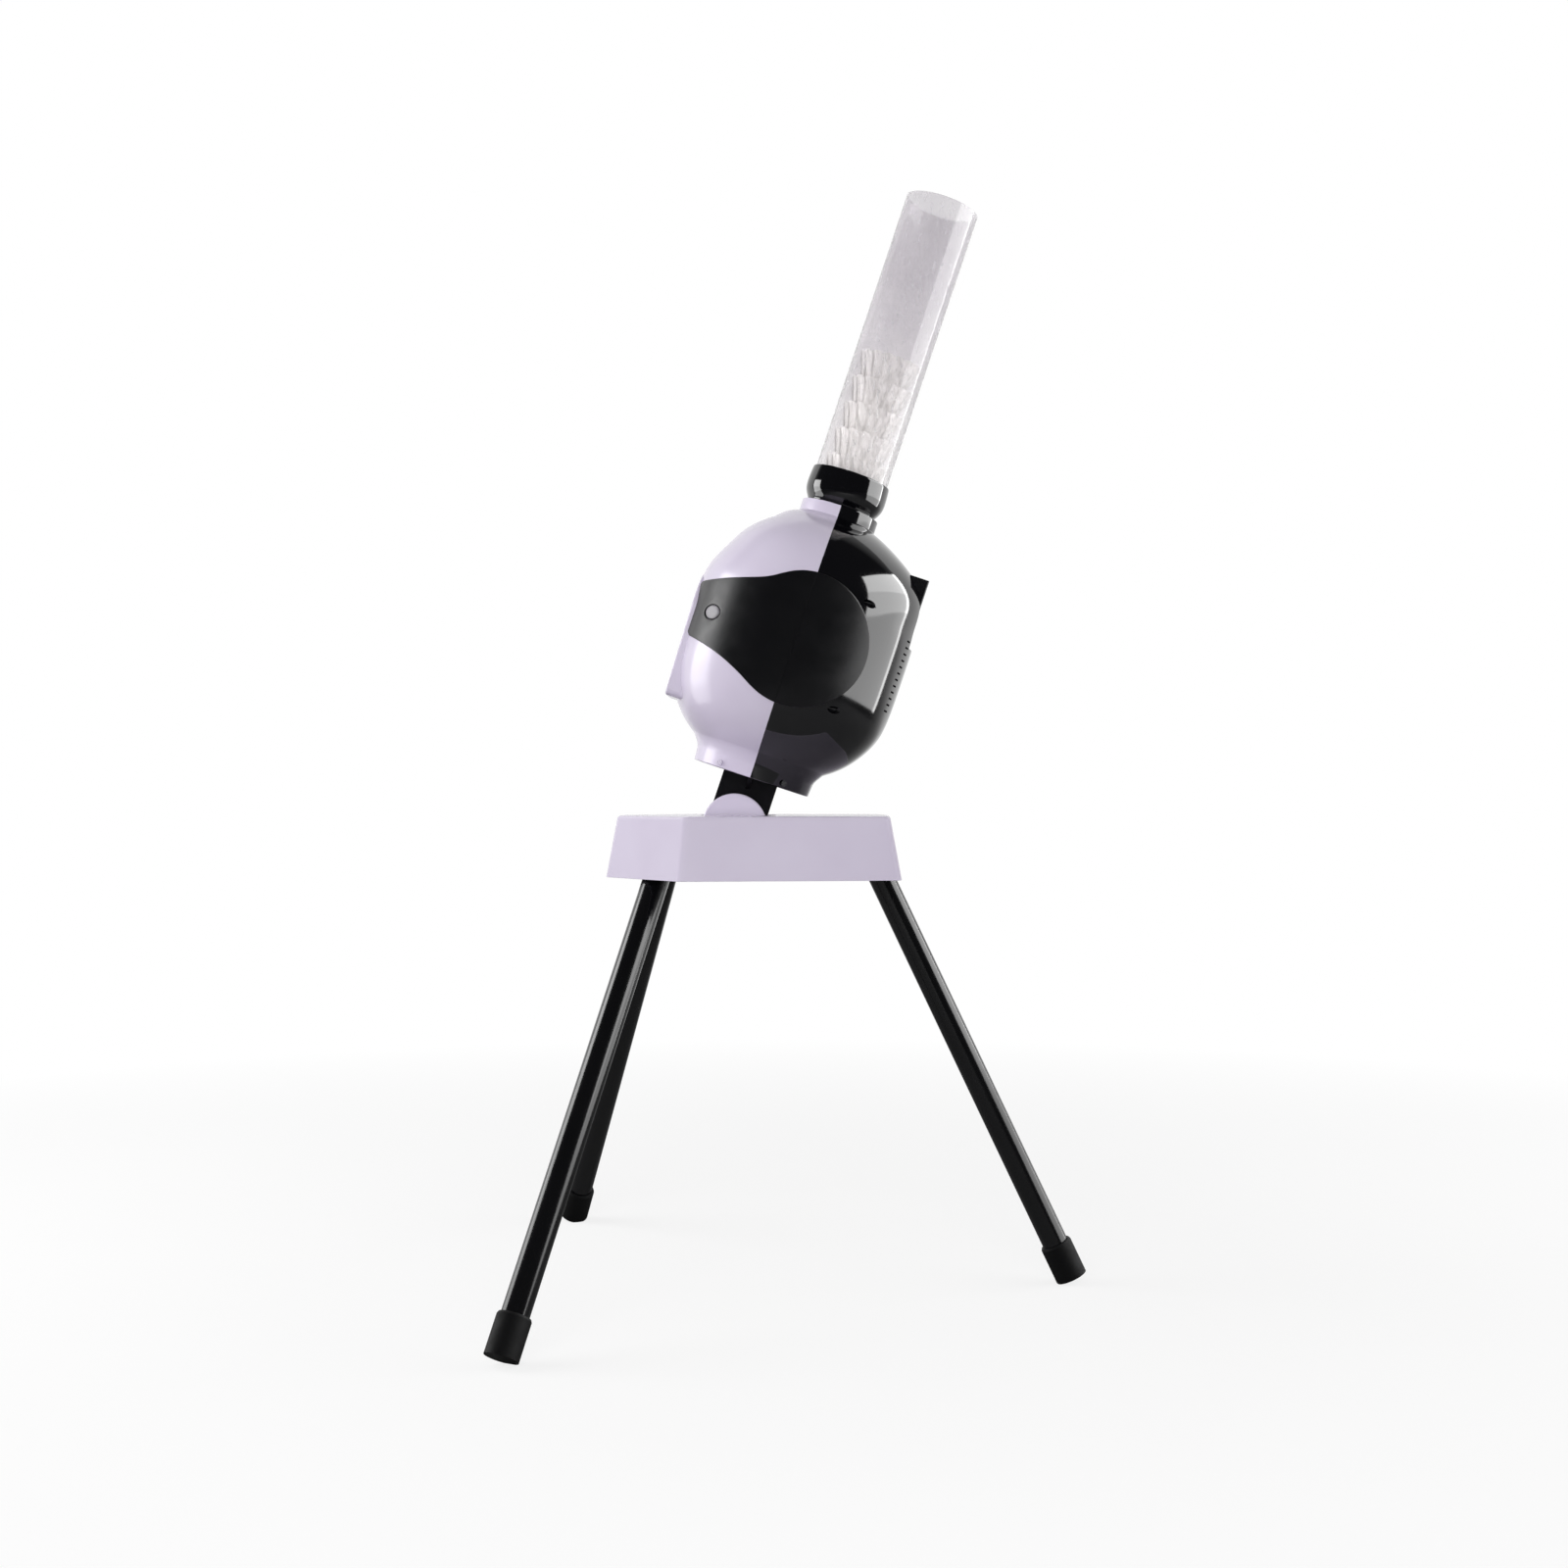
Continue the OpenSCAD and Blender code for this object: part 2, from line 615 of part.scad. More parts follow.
module tube_cup() color(gloss_black) in_head() rotate_extrude($fn = 96) polygon([[drop_r, stem_low],
    [stem_r, stem_low], [stem_r, neck_w + neck_h + 1], [stem_r + 2.6, neck_w + neck_h + 5],
    [cup_r - 1, tube_w - 2],
    [cup_r, tube_w + 5], [cup_r, tube_w + 10], [cup_r - 0.6, cup_top - 1], [cup_r - 1.2, cup_top],
    [tube_r + seat, cup_top], [tube_r + seat, tube_w - seat], [drop_r, tube_w - seat]]);

module shuttle_tube() color(clear) in_head() translate([0, 0, tube_w]) difference() {
    cylinder(r = tube_r, h = tube_len, $fn = 96);
    translate([0, 0, -1]) cylinder(r = tube_r - tube_wall, h = tube_len + 2, $fn = 96);
}

// A round-nosed cork with a thin cone of feathers
module shuttlecock() rotate_extrude($fn = 48) {
    polygon(concat([for (i = [0:8]) let (a = i * 90 / 8) [cork_r * sin(a), cork_r * (1 - cos(a))]],
        [[cork_r, cork_h], [0, cork_h]]));
    polygon([[cork_r - skirt_t - 1, cork_h - 1], [cork_r - 1, cork_h - 1], [skirt_r, cork_h + skirt_h],
        [skirt_r - skirt_t, cork_h + skirt_h]]);
}

module shuttlecocks() color("white") in_head()
    for (i = [0:shuttle_n - 1]) translate([0, 0, cork_low + i * stack_pitch]) shuttlecock();

// A sleeve under the neck, open at the back for the rotor's fingers, with a lug for the feed motor
module drop_guide() color("whitesmoke") in_head() difference() {
    union() {
        translate([0, 0, rotor_w - 20]) cylinder(r = stem_r, h = stem_low - seat - rotor_w + 20, $fn = 96);
        translate([0, 0, sleeve_low - seat - 4]) cylinder(r = stem_r + 3, h = 4, $fn = 96);
        translate([10, feed_motor_v - lug_t - seat, rotor_w - 20]) cube([rotor_u + 4, lug_t, 36]);
    }
    translate([0, 0, rotor_w - 30]) cylinder(r = drop_r + 0.4, h = 100, $fn = 96);
    translate([0, -rotor_t / 2 - 2, rotor_w - 30]) cube([60, rotor_t + 4, 30 + finger_r + 4]);
    translate([rotor_u, 0, rotor_w]) rod_y(4, 5, 40, $fn = 32);
}

module feed_motor() color(steel) in_head() translate([rotor_u, 0, rotor_w]) difference() {
    union() {
        rod_y(feed_motor_r, feed_motor_v, feed_motor_v + feed_motor_len, $fn = 64);
        rod_y(3.6, feed_motor_v - 2, feed_motor_v + 1, $fn = 32);
    }
    rod_y(shaft_r + running, feed_motor_v - 3, feed_motor_v + 20, $fn = 32);
}

// A star of fingers that holds the lowest cork and lets one shuttlecock past at a time
module feed_rotor() color("orange") in_head() translate([rotor_u, 0, rotor_w]) {
    rod_y(9, -rotor_t / 2, rotor_t / 2, $fn = 48);
    rod_y(shaft_r, 0, feed_motor_v + 19, $fn = 32);
    for (i = [0:finger_n - 1]) rotate([0, finger_rest + i * 360 / finger_n, 0]) {
        translate([-finger_r + finger_t / 2, -rotor_t / 2, -finger_t / 2])
            cube([finger_r - 6, rotor_t, finger_t]);
        translate([-finger_r + finger_t / 2, 0, 0]) rod_y(finger_t / 2, -rotor_t / 2, rotor_t / 2, $fn = 32);
    }
}

// A round plate across the head that carries the wheels' motors
module launch_deck() color(matte_black) in_head() difference() {
    translate([0, 0, motor_top])
        cylinder(r = body_r(motor_top) - shell_wall - 2 * seat, h = deck_t, $fn = 120);
    for (s = [-1, 1]) translate([-wheel_u, s * wheel_v, 0]) cylinder(r = 4, h = 200, $fn = 32);
    translate([30, 0, 0]) cylinder(r = 16, h = 200, $fn = 48);
    for (p = post_at) translate([p[0], p[1], 0]) cylinder(r = pilot_r, h = 200, $fn = 24);
    translate([-140, -outlet_r, motor_top - 1]) cube([140 - 92, 2 * outlet_r, deck_t + 2]);
}

module deck_posts() color(steel) in_head() for (p = post_at) translate([p[0], p[1], flange_w + flange_t])
    cylinder(r = post_r, h = motor_top - flange_w - flange_t, $fn = 32);

module wheel_motors() color(steel) in_head() for (s = [-1, 1])
    translate([-wheel_u, s * wheel_v, 0]) difference() {
    union() {
        translate([0, 0, motor_top - motor_len]) cylinder(r = motor_r, h = motor_len, $fn = 64);
        translate([0, 0, motor_top - 1]) cylinder(r = 3.6, h = 3, $fn = 32);
        translate([0, 0, motor_top - motor_len - 2]) cylinder(r = 5, h = 3, $fn = 32);
    }
    translate([0, 0, motor_top - 20]) cylinder(r = shaft_r + running, h = 40, $fn = 32);
}

module wheel_hub(s) color("whitesmoke") in_head() translate([-wheel_u, s * wheel_v, 0]) {
    difference() {
        translate([0, 0, wheel_w]) cylinder(r = hub_r, h = wheel_h, $fn = 96);
        for (i = [0:5]) rotate([0, 0, 60 * i]) translate([15, 0, wheel_w - 1])
            cylinder(r = 5, h = wheel_h + 2, $fn = 32);
    }
    translate([0, 0, deck_w + 4]) cylinder(r = 6, h = wheel_w - deck_w - 3, $fn = 48);
    translate([0, 0, motor_top - 18]) cylinder(r = shaft_r, h = wheel_w - motor_top + 18 + 1, $fn = 32);
}

module wheel_tyre(s) color(matte_black) in_head() translate([-wheel_u, s * wheel_v, 0])
    rotate_extrude($fn = 96) polygon([[hub_r + running, wheel_w], [wheel_r - 2, wheel_w],
        [wheel_r, wheel_w + 2], [wheel_r - 0.8, wheel_w + wheel_h / 2], [wheel_r, wheel_w + wheel_h - 2],
        [wheel_r - 2, wheel_w + wheel_h], [hub_r + running, wheel_w + wheel_h]]);

module control_board() color("darkgreen") in_head() translate([0, 0, board_w]) {
    difference() {
        translate([-board_l / 2, -board_b / 2, 0]) cube([board_l, board_b, board_t]);
        for (p = post_at) translate([p[0], p[1], -1]) cylinder(r = post_r + seat, h = board_t + 2, $fn = 32);
    }
    translate([10, -6, board_t - 0.1]) cube([12, 12, 2.1]);
    for (y = [-1, 1]) translate([-30, 14 * y, board_t - 0.1]) cylinder(r = 5, h = 12.1, $fn = 32);
    translate([28, -20, board_t - 0.1]) cube([8, 14, 6.1]);
}

module battery_pack() color(matte_black) in_head()
    translate([pack_in + pack_t / 2, 0, pack_top - pack_h]) linear_extrude(height = pack_h)
        rounded(pack_t, 2 * pack_half, 2);

base_shell();
base_plate();
base_screws();
leg(near_foot, near_top);  // leg_near
leg(far_foot, far_top);  // leg_far
leg(rear_foot, rear_top);  // leg_rear
foot_cap(near_foot, near_top);  // foot_cap_near
foot_cap(far_foot, far_top);  // foot_cap_far
foot_cap(rear_foot, rear_top);  // foot_cap_rear
hinge_fork();
pivot_bolt();
hinge_cover(-1);  // hinge_cover_near
hinge_cover(1);  // hinge_cover_far
friction_washers();
tilt_arm();
front_shell();
rear_shell();
shell_screws();
side_panel(-1);  // side_panel_near
side_panel(1);  // side_panel_far
outlet_bezel();
tube_cup();
shuttle_tube();
shuttlecocks();
drop_guide();
feed_motor();
feed_rotor();
launch_deck();
deck_posts();
wheel_motors();
wheel_hub(-1);  // wheel_hub_near
wheel_tyre(-1);  // wheel_tyre_near
wheel_hub(1);  // wheel_hub_far
wheel_tyre(1);  // wheel_tyre_far
control_board();
battery_pack();
side_button();
button_switch();
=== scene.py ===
"""A badminton serving machine: the looks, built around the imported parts. Metres throughout."""
import json
import math

import bmesh
import bpy
from mathutils import Matrix, Vector
from mathutils.geometry import delaunay_2d_cdt

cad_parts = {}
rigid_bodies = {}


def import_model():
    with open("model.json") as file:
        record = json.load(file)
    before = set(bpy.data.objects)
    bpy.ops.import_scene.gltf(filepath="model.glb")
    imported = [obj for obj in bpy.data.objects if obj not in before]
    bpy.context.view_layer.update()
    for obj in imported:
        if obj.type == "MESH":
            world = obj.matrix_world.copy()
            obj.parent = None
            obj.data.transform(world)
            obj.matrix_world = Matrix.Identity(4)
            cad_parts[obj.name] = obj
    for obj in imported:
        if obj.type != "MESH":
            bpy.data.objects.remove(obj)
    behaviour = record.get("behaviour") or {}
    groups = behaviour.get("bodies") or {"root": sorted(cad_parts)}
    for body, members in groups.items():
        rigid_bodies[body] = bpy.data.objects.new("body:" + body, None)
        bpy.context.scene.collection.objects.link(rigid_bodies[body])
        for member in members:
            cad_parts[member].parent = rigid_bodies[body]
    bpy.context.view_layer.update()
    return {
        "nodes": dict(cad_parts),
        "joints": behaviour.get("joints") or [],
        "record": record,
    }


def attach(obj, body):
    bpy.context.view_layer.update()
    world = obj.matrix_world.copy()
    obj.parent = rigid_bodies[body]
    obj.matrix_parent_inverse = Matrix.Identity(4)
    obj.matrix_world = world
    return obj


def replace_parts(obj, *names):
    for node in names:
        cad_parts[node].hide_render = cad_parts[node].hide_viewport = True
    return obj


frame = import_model()
NODES = frame["nodes"]

# The head's own frame: w up from the collar's foot, u to the rear, v across
PIVOT = Vector(next(j["pos_m"] for j in frame["joints"] if j["name"] == "head_tilt"))
HEAD_LEAN = math.radians(18.5)
COLLAR_RISE = 0.050
HEAD = (Matrix.Translation(PIVOT) @ Matrix.Rotation(HEAD_LEAN, 4, "Y")
        @ Matrix.Translation((0, 0, COLLAR_RISE)))

# The head's housing: a curve with a wall, a collar below and a neck on top
BODY_RAD, BODY_MID, BODY_HALF = 0.1107, 0.1415, 0.141
BODY_M, BODY_N = 3.9, 1.33
WALL = 0.0025
COLLAR_R, COLLAR_WALL, COLLAR_H = 0.0605, 0.003, 0.020
NECK_R, NECK_BORE, NECK_LOW, NECK_TOP, SLEEVE_LOW = 0.0397, 0.0353, 0.272, 0.285, 0.262
SEAM_EDGE = 0.0003
SCREW_SIDE, SCREW_RISE, SCREW_SINK, SINK_FROM = 0.093, 0.054, 0.0036, 0.014
WELL_R, WELL_BORE, WELL_FLOOR, WELL_FOOT = 0.0062, 0.0019, 0.0139, 0.0010
COLLAR_HOLE_R, COLLAR_HOLE_RISE, COLLAR_HOLE_TURN = 0.002, 0.005, 58
VENT_COUNT, VENT_PITCH, VENT_H, VENT_SIDE, VENT_HALF = 12, 0.0066, 0.0018, 0.0375, 0.0045
PACK_HALF, PACK_LOW, PACK_HIGH, PACK_FROM = 0.0303, 0.1722, 0.2428, 0.0867
BUTTON_U, BUTTON_R, BUTTON_IN, BUTTON_PROUD = -0.086, 0.007, 0.050, 0.0014
SEAT = 0.0003

# The head isn't quite round: how far it departs from that, and the heights between which each comes and goes
BROW_IN = (0.008, 0.180, 0.225, 0.255, 0.270)
BACK_OUT = (0.003, 0.045, 0.085, 0.235, 0.268)
CROWN_OUT = (0.0045, 0.185, 0.222, 0.225, 0.262)

# The outlet and its raised frame
HOOD_R, HOOD_LOW, HOOD_TOP, HOOD_U, HOOD_TILT = 0.041, 0.052, 0.140, 0.1088, 1.7
OUTLET_R, OUTLET_LOW = 0.0345, 0.062
HOOD_CORNER, HOOD_EDGE = 0.006, 0.0019

# Side panels: a disc, and a band that runs forward from it to the outlet's frame, in (u, w from the middle)
PANEL_T = 0.0023
DISC_R, DISC_U, DISC_FROM, DISC_TO = 0.066, 0.005, 122, -117
BAND_LOW = [(-0.0439, -0.0485), (-0.070, -0.037), (-0.1025, -0.0273)]
BAND_HIGH = [(-0.0475, 0.0465), (-0.080, 0.037), (-0.1071, 0.0293)]
PANEL_GRID, PANEL_CLEAR = 0.003, 0.0012
SEAM_HALF, SEAM_DIP = 0.0004, 0.00025

# The base: its outline at the foot, from the nose round the near side
BASE_LOW, BASE_HIGH, BASE_WALL, BASE_DRAFT, BASE_ROUND = 0.412, 0.473, 0.003, 0.0095, 0.009
BASE_OUTLINE = [(-0.1993, -0.040), (-0.1227, -0.145), (0.0893, -0.120), (0.0953, 0.0), (0.0893, 0.120),
                (-0.1227, 0.145), (-0.1993, 0.040)]
BASE_FOOT_EASE, BASE_TOP_ROUND, BASE_TOP_FLAT, BASE_DRAFT_DROP = 0.0006, 0.0040, 0.004, 0.009
HINGE_SLOT, SLOT_ROUND = (-0.1062, -0.0312, 0.0370), 0.003

# Shuttlecocks, from the lowest cork up
SHUTTLE_COUNT = 6
CORK_LOW, CORK_R, CORK_H = 0.2221, 0.013, 0.027
STACK_PITCH, STACK_TWIST = 0.0273, 0.37
SKIRT_R, SKIRT_TOP = 0.0315, 0.0868
ROOT_R, ROOT_H = CORK_R - 0.0020, CORK_H - 0.0020
THREAD_R, THREADS_AT = 0.0007, (0.16, 0.27)

# One feather: the vane's width at shares of the skirt's length, its points from side to side, and its stem
FEATHERS = 16
VANE_SHAPE = [(0.30, 0.0), (0.36, 0.35), (0.46, 0.62), (0.60, 0.82), (0.76, 0.95), (0.88, 1.0), (0.95, 0.86),
              (0.985, 0.55), (1.0, 0.0)]
VANE_ACROSS = [-1.0, -0.5, 0.0, 0.5, 1.0]
VANE_HALF = 0.0083
STEM_R, STEM_STEPS, STEM_SIDES = 0.0007, 5, 5

# The photograph's view
EYE, LENS, SENSOR, SHIFT_UP = (-0.0229, -2.0, 0.4944), 45.4, 36, 0.0064

# Lamps that light the machine: where each is and aims, its width, height and watts
LAMPS = [("left_light", (-1.55, 0.05, 1.10), (0, 0.0, 0.65), 1.2, 1.2, 18),
         ("right_light", (1.45, -0.03, 0.80), (0, -0.03, 0.80), 1.55, 1.4, 12),
         ("front_light", (-0.3, -2.7, 0.95), (0, 0, 0.6), 2.0, 1.6, 48)]
# Panels that show in gloss: rows by foot, top and glow, and columns by x, y, width and share of that glow
PANEL_ROWS = [("high", 1.00, 1.55, 5.6), ("middle", 0.55, 1.00, 4.3), ("low", 0.10, 0.55, 2.6)]
PANEL_COLUMNS = [("right_panel_", 1.38, -0.12, 1.38, 1.0), ("right_edge_", 1.37, 0.51, 0.12, 1.2),
                 ("left_panel_", -1.52, 0.20, 0.75, 0.95)]

# The backdrop: where the floor starts, where it bends up and how tightly, and how high and wide it is
FLOOR_FROM, BEND_FROM, BEND_R, WALL_TOP, SHEET_HALF = -5.0, 2.2, 1.2, 6.0, 7

TAU = 2 * math.pi


def grey(value):
    """An sRGB value from 0 to 255 as a linear one."""
    c = value / 255
    return c / 12.92 if c <= 0.04045 else ((c + 0.055) / 1.055) ** 2.4


def rgb(r, g, b):
    return (grey(r), grey(g), grey(b), 1)


class Nodes:
    """A short way to add nodes to a material or a world."""

    def __init__(self, owner):
        owner.use_nodes = True
        self.tree = owner.node_tree
        self.tree.nodes.clear()

    def add(self, kind, inputs=None, **settings):
        node = self.tree.nodes.new(kind)
        for key, value in settings.items():
            setattr(node, key, value)
        for key, value in (inputs or {}).items():
            if isinstance(value, bpy.types.NodeSocket):
                self.tree.links.new(value, node.inputs[key])
            else:
                node.inputs[key].default_value = value
        return node

    def place(self):
        return self.add("ShaderNodeTexCoord").outputs["Object"]

    def noise(self, scale, detail=3.0, stretch=(1, 1, 1), rough=0.5):
        mapped = self.add("ShaderNodeMapping", {"Vector": self.place(), "Scale": stretch}).outputs[0]
        return self.add("ShaderNodeTexNoise", {"Vector": mapped, "Scale": scale, "Detail": detail,
                                               "Roughness": rough}).outputs["Fac"]

    def spread(self, value, low, high, at_low=0.3, at_high=0.7):
        """Maps the middle of a texture's range to low and high."""
        return self.add("ShaderNodeMapRange", {"Value": value, "From Min": at_low, "From Max": at_high,
                                               "To Min": low, "To Max": high}).outputs["Result"]

    def colours(self, factor, a, b):
        """Goes from one colour to another."""
        mixed = self.add("ShaderNodeMix", {"Factor": factor, "A": a, "B": b}, data_type="RGBA")
        return mixed.outputs["Result"]

    def reckon(self, operation, *values):
        return self.add("ShaderNodeMath", dict(enumerate(values)), operation=operation).outputs[0]

    def from_pivot(self, way):
        """How far a point is from the pivot along a direction of the head's own."""
        way = HEAD.to_3x3() @ Vector(way)
        place = self.add("ShaderNodeVectorMath", {0: self.place(), 1: tuple(PIVOT)}, operation="SUBTRACT")
        return self.add("ShaderNodeVectorMath", {0: place.outputs[0], 1: tuple(way)},
                        operation="DOT_PRODUCT").outputs["Value"]

    def seen(self, path):
        """1 for the rays by which the camera sees, also through the clear tube."""
        return self.reckon("MAXIMUM", path.outputs["Is Camera Ray"], path.outputs["Is Transmission Ray"])

    def bump(self, height, strength, distance, after=None):
        inputs = {"Height": height, "Strength": strength, "Distance": distance}
        if after is not None:
            inputs["Normal"] = after
        return self.add("ShaderNodeBump", inputs).outputs["Normal"]


def new_look(name):
    material = bpy.data.materials.new(name)
    return material, Nodes(material)


def moulded(name, colour, second, rough, grain=0.0, grain_scale=2500, coat=0.0, specular=0.5, waves=0.0):
    """Moulded plastic: two near shades in slow clouds, uneven gloss, fine grain and faint waves."""
    material, n = new_look(name)
    clouds = n.noise(14, 2)
    shade = n.colours(n.spread(clouds, 0, 1), colour, second)
    gloss = n.spread(n.noise(60, 4), rough * 0.85, rough * 1.15)
    normal = n.bump(n.noise(grain_scale, 2), grain, 0.0002)
    if waves:
        normal = n.bump(n.noise(25, 1), waves, 0.002, normal)
    shader = n.add("ShaderNodeBsdfPrincipled", {
        "Base Color": shade, "Roughness": gloss, "Normal": normal, "Coat Weight": coat,
        "Coat Roughness": 0.05, "Specular IOR Level": specular})
    n.add("ShaderNodeOutputMaterial", {"Surface": shader.outputs[0]})
    return material


def metal(name, colour, rough):
    """Turned metal, with fine lines round it."""
    material, n = new_look(name)
    lines = n.noise(400, 3, (1, 1, 12))
    darker = tuple(c * 0.9 for c in colour[:3]) + (1,)
    shader = n.add("ShaderNodeBsdfPrincipled", {
        "Base Color": n.colours(n.spread(n.noise(80), 0, 1), colour, darker),
        "Roughness": n.spread(lines, rough * 0.8, rough * 1.3), "Metallic": 1.0,
        "Normal": n.bump(lines, 0.15, 0.0002)})
    n.add("ShaderNodeOutputMaterial", {"Surface": shader.outputs[0]})
    return material


def painted_screws():
    """Screws in the colour of the half that they are in, told apart by their distance behind the seam."""
    material, n = new_look("painted_screws_look")
    half = n.reckon("GREATER_THAN", n.from_pivot((1, 0, 0)), 0.0)
    shader = n.add("ShaderNodeBsdfPrincipled", {
        "Base Color": n.colours(half, rgb(206, 198, 216), rgb(26, 26, 29)),
        "Roughness": n.spread(n.noise(300, 3), 0.3, 0.45), "Normal": n.bump(n.noise(1800), 0.1, 0.0002)})
    n.add("ShaderNodeOutputMaterial", {"Surface": shader.outputs[0]})
    return material


def clear_tube():
    """Clear plastic, hazed and scratched along its length by the shuttlecocks. Its tint is painted shade:
    greyer towards the top and lighter low down, where the bright feathers show through.
    """
    material, n = new_look("clear_plastic_look")
    # Painted shade: the tint goes from light at the tube's foot to grey at its top, a little unevenly.
    along = n.spread(n.from_pivot((0, 0, 1)), 0, 1, COLLAR_RISE + 0.33, COLLAR_RISE + 0.52)
    painted_tube_shade = n.reckon("ADD", along, n.spread(n.noise(30), -0.15, 0.15))
    scratches = n.noise(190, 6, (1, 1, 0.10), 0.7)
    hairs = n.spread(n.noise(420, 5, (0.8, 0.8, 0.2), 0.65), 0.0, 1.0, 0.58, 0.72)
    plastic = n.add("ShaderNodeBsdfPrincipled", {
        "Base Color": n.colours(painted_tube_shade, rgb(250, 248, 248), rgb(220, 217, 220)),
        "Roughness": n.spread(scratches, 0.05, 0.20), "Transmission Weight": 1.0, "IOR": 1.46,
        "Specular IOR Level": 0.55, "Normal": n.bump(scratches, 0.10, 0.0005)})
    haze = n.add("ShaderNodeBsdfPrincipled", {"Base Color": rgb(214, 212, 216), "Roughness": 0.5})
    cloudy = n.reckon("MULTIPLY_ADD", hairs, 0.6, n.spread(n.noise(22, 3), 0.04, 0.16))
    wall = n.add("ShaderNodeMixShader", {0: cloudy, 1: plastic.outputs[0], 2: haze.outputs[0]})
    path = n.add("ShaderNodeLightPath")
    through = n.add("ShaderNodeBsdfTransparent", {"Color": rgb(250, 249, 250)})
    lit = n.add("ShaderNodeMixShader", {0: path.outputs["Is Shadow Ray"], 1: wall.outputs[0],
                                        2: through.outputs[0]})
    n.add("ShaderNodeOutputMaterial", {"Surface": lit.outputs[0]})
    return material


def feather_look():
    """Feathers, and the skin of the corks: streaked and faintly ribbed."""
    material, n = new_look("feather_look")
    barbs = n.noise(900, 2, (1, 1, 0.25))
    streaks = n.noise(230, 3, (1, 1, 0.12), 0.6)
    shader = n.add("ShaderNodeBsdfPrincipled", {
        "Base Color": n.colours(n.spread(streaks, 0, 1, 0.35, 0.62), rgb(206, 204, 200), rgb(252, 251, 248)),
        "Roughness": 0.6, "Sheen Weight": 0.3, "Normal": n.bump(barbs, 0.4, 0.0004)})
    n.add("ShaderNodeOutputMaterial", {"Surface": shader.outputs[0]})
    return material


def board_look():
    """A circuit board's green, in tracks."""
    material, n = new_look("board_look")
    tracks = n.add("ShaderNodeTexBrick", {"Vector": n.place(), "Scale": 120.0, "Color1": rgb(12, 92, 52),
                                          "Color2": rgb(10, 80, 44), "Mortar": rgb(40, 130, 84)})
    shader = n.add("ShaderNodeBsdfPrincipled", {"Base Color": tracks.outputs["Color"], "Roughness": 0.35})
    n.add("ShaderNodeOutputMaterial", {"Surface": shader.outputs[0]})
    return material


LOOKS = {
    "lavender_plastic": moulded("lavender_look", rgb(213, 204, 224), rgb(218, 210, 229), 0.22,
                                grain=0.05, coat=0.25, waves=0.04),
    "gloss_black": moulded("gloss_black_look", rgb(5, 5, 8), rgb(8, 8, 12), 0.07, grain=0.02, specular=1.0,
                           waves=0.03),
    "black_plastic": moulded("black_plastic_look", rgb(9, 9, 12), rgb(12, 12, 15), 0.34, grain=0.2,
                             grain_scale=3200, specular=0.5),
    "black_tube": moulded("black_tube_look", rgb(8, 8, 10), rgb(12, 12, 14), 0.16, grain=0.05, specular=0.7),
    "rubber": moulded("rubber_look", rgb(9, 9, 10), rgb(13, 13, 14), 0.6, grain=0.5, grain_scale=1800,
                      specular=0.25),
    "wheel_rubber": moulded("wheel_rubber_look", rgb(46, 46, 50), rgb(52, 52, 55), 0.7, grain=0.6,
                            grain_scale=1500),
    "white_plastic": moulded("white_plastic_look", rgb(222, 222, 218), rgb(228, 228, 224), 0.4, grain=0.1),
    "orange_plastic": moulded("orange_plastic_look", rgb(224, 128, 44), rgb(232, 136, 52), 0.4, grain=0.1),
    "steel": metal("steel_look", rgb(196, 198, 202), 0.3),
    "painted_screws": painted_screws(),
    "button_grey": moulded("button_look", rgb(120, 117, 123), rgb(126, 123, 129), 0.35, grain=0.1),
    "clear_plastic": clear_tube(),
    "feather": feather_look(),
    "board": board_look(),
}

# The button's own grey counts as the record's black plastic
EDGE_ANGLE = 35


def dress(piece, look):
    piece.data.materials.clear()
    piece.data.materials.append(LOOKS[look])


def smooth(piece, angle=EDGE_ANGLE):
    """Smooth shading, with edges sharper than the angle kept."""
    piece.data.shade_smooth()
    piece.data.set_sharp_from_angle(angle=math.radians(angle))


def add_mesh(name, points, faces, body, look, place=None, angle=EDGE_ANGLE):
    """A piece from points and faces, put in its place and set on the body that carries it."""
    mesh = bpy.data.meshes.new(name)
    mesh.from_pydata([tuple(p) for p in points], [], faces)
    mesh.validate()
    piece = bpy.data.objects.new(name, mesh)
    bpy.context.scene.collection.objects.link(piece)
    if place is not None:
        mesh.transform(place)
    dress(piece, look)
    smooth(piece, angle)
    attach(piece, body)
    return piece


def joined(parts):
    """Several (points, faces) as one."""
    points, faces = [], []
    for p, f in parts:
        faces += [tuple(i + len(points) for i in face) for face in f]
        points += p
    return points, faces


def bands(count, n, closed=True, skip=None):
    """Faces between rings of n points that follow one another."""
    return [(j * n + k, j * n + (k + 1) % n, (j + 1) % count * n + (k + 1) % n, (j + 1) % count * n + k)
            for j in range(count if closed else count - 1) if j != skip for k in range(n)]


def turned(profile, steps=48, closed=True):
    """A profile of (radius, height) turned round Z. A closed profile returns to its start."""
    n = len(profile)
    points = [Vector((r * math.cos(TAU * i / steps), r * math.sin(TAU * i / steps), z))
              for i in range(steps) for r, z in profile]
    faces = []
    for i in range(steps):
        j = (i + 1) % steps
        for k in range(n if closed else n - 1):
            m = (k + 1) % n
            faces.append((i * n + k, j * n + k, j * n + m, i * n + m))
    return points, faces


def arc(cx, cy, r, a1, a2, steps=6):
    """Points of an arc between two angles in degrees."""
    return [(cx + r * math.cos(math.radians(a1 + (a2 - a1) * i / steps)),
             cy + r * math.sin(math.radians(a1 + (a2 - a1) * i / steps))) for i in range(steps + 1)]


def dress_cad_nodes():
    """The CAD nodes wear the look of their slot. What a piece replaces doesn't show."""
    slots = {s["node"]: s["material_slot"] for s in frame["record"]["subparts"]}
    for name, node in NODES.items():
        dress(node, slots[name])
        smooth(node)
    dress(NODES["shell_screws"], "painted_screws")


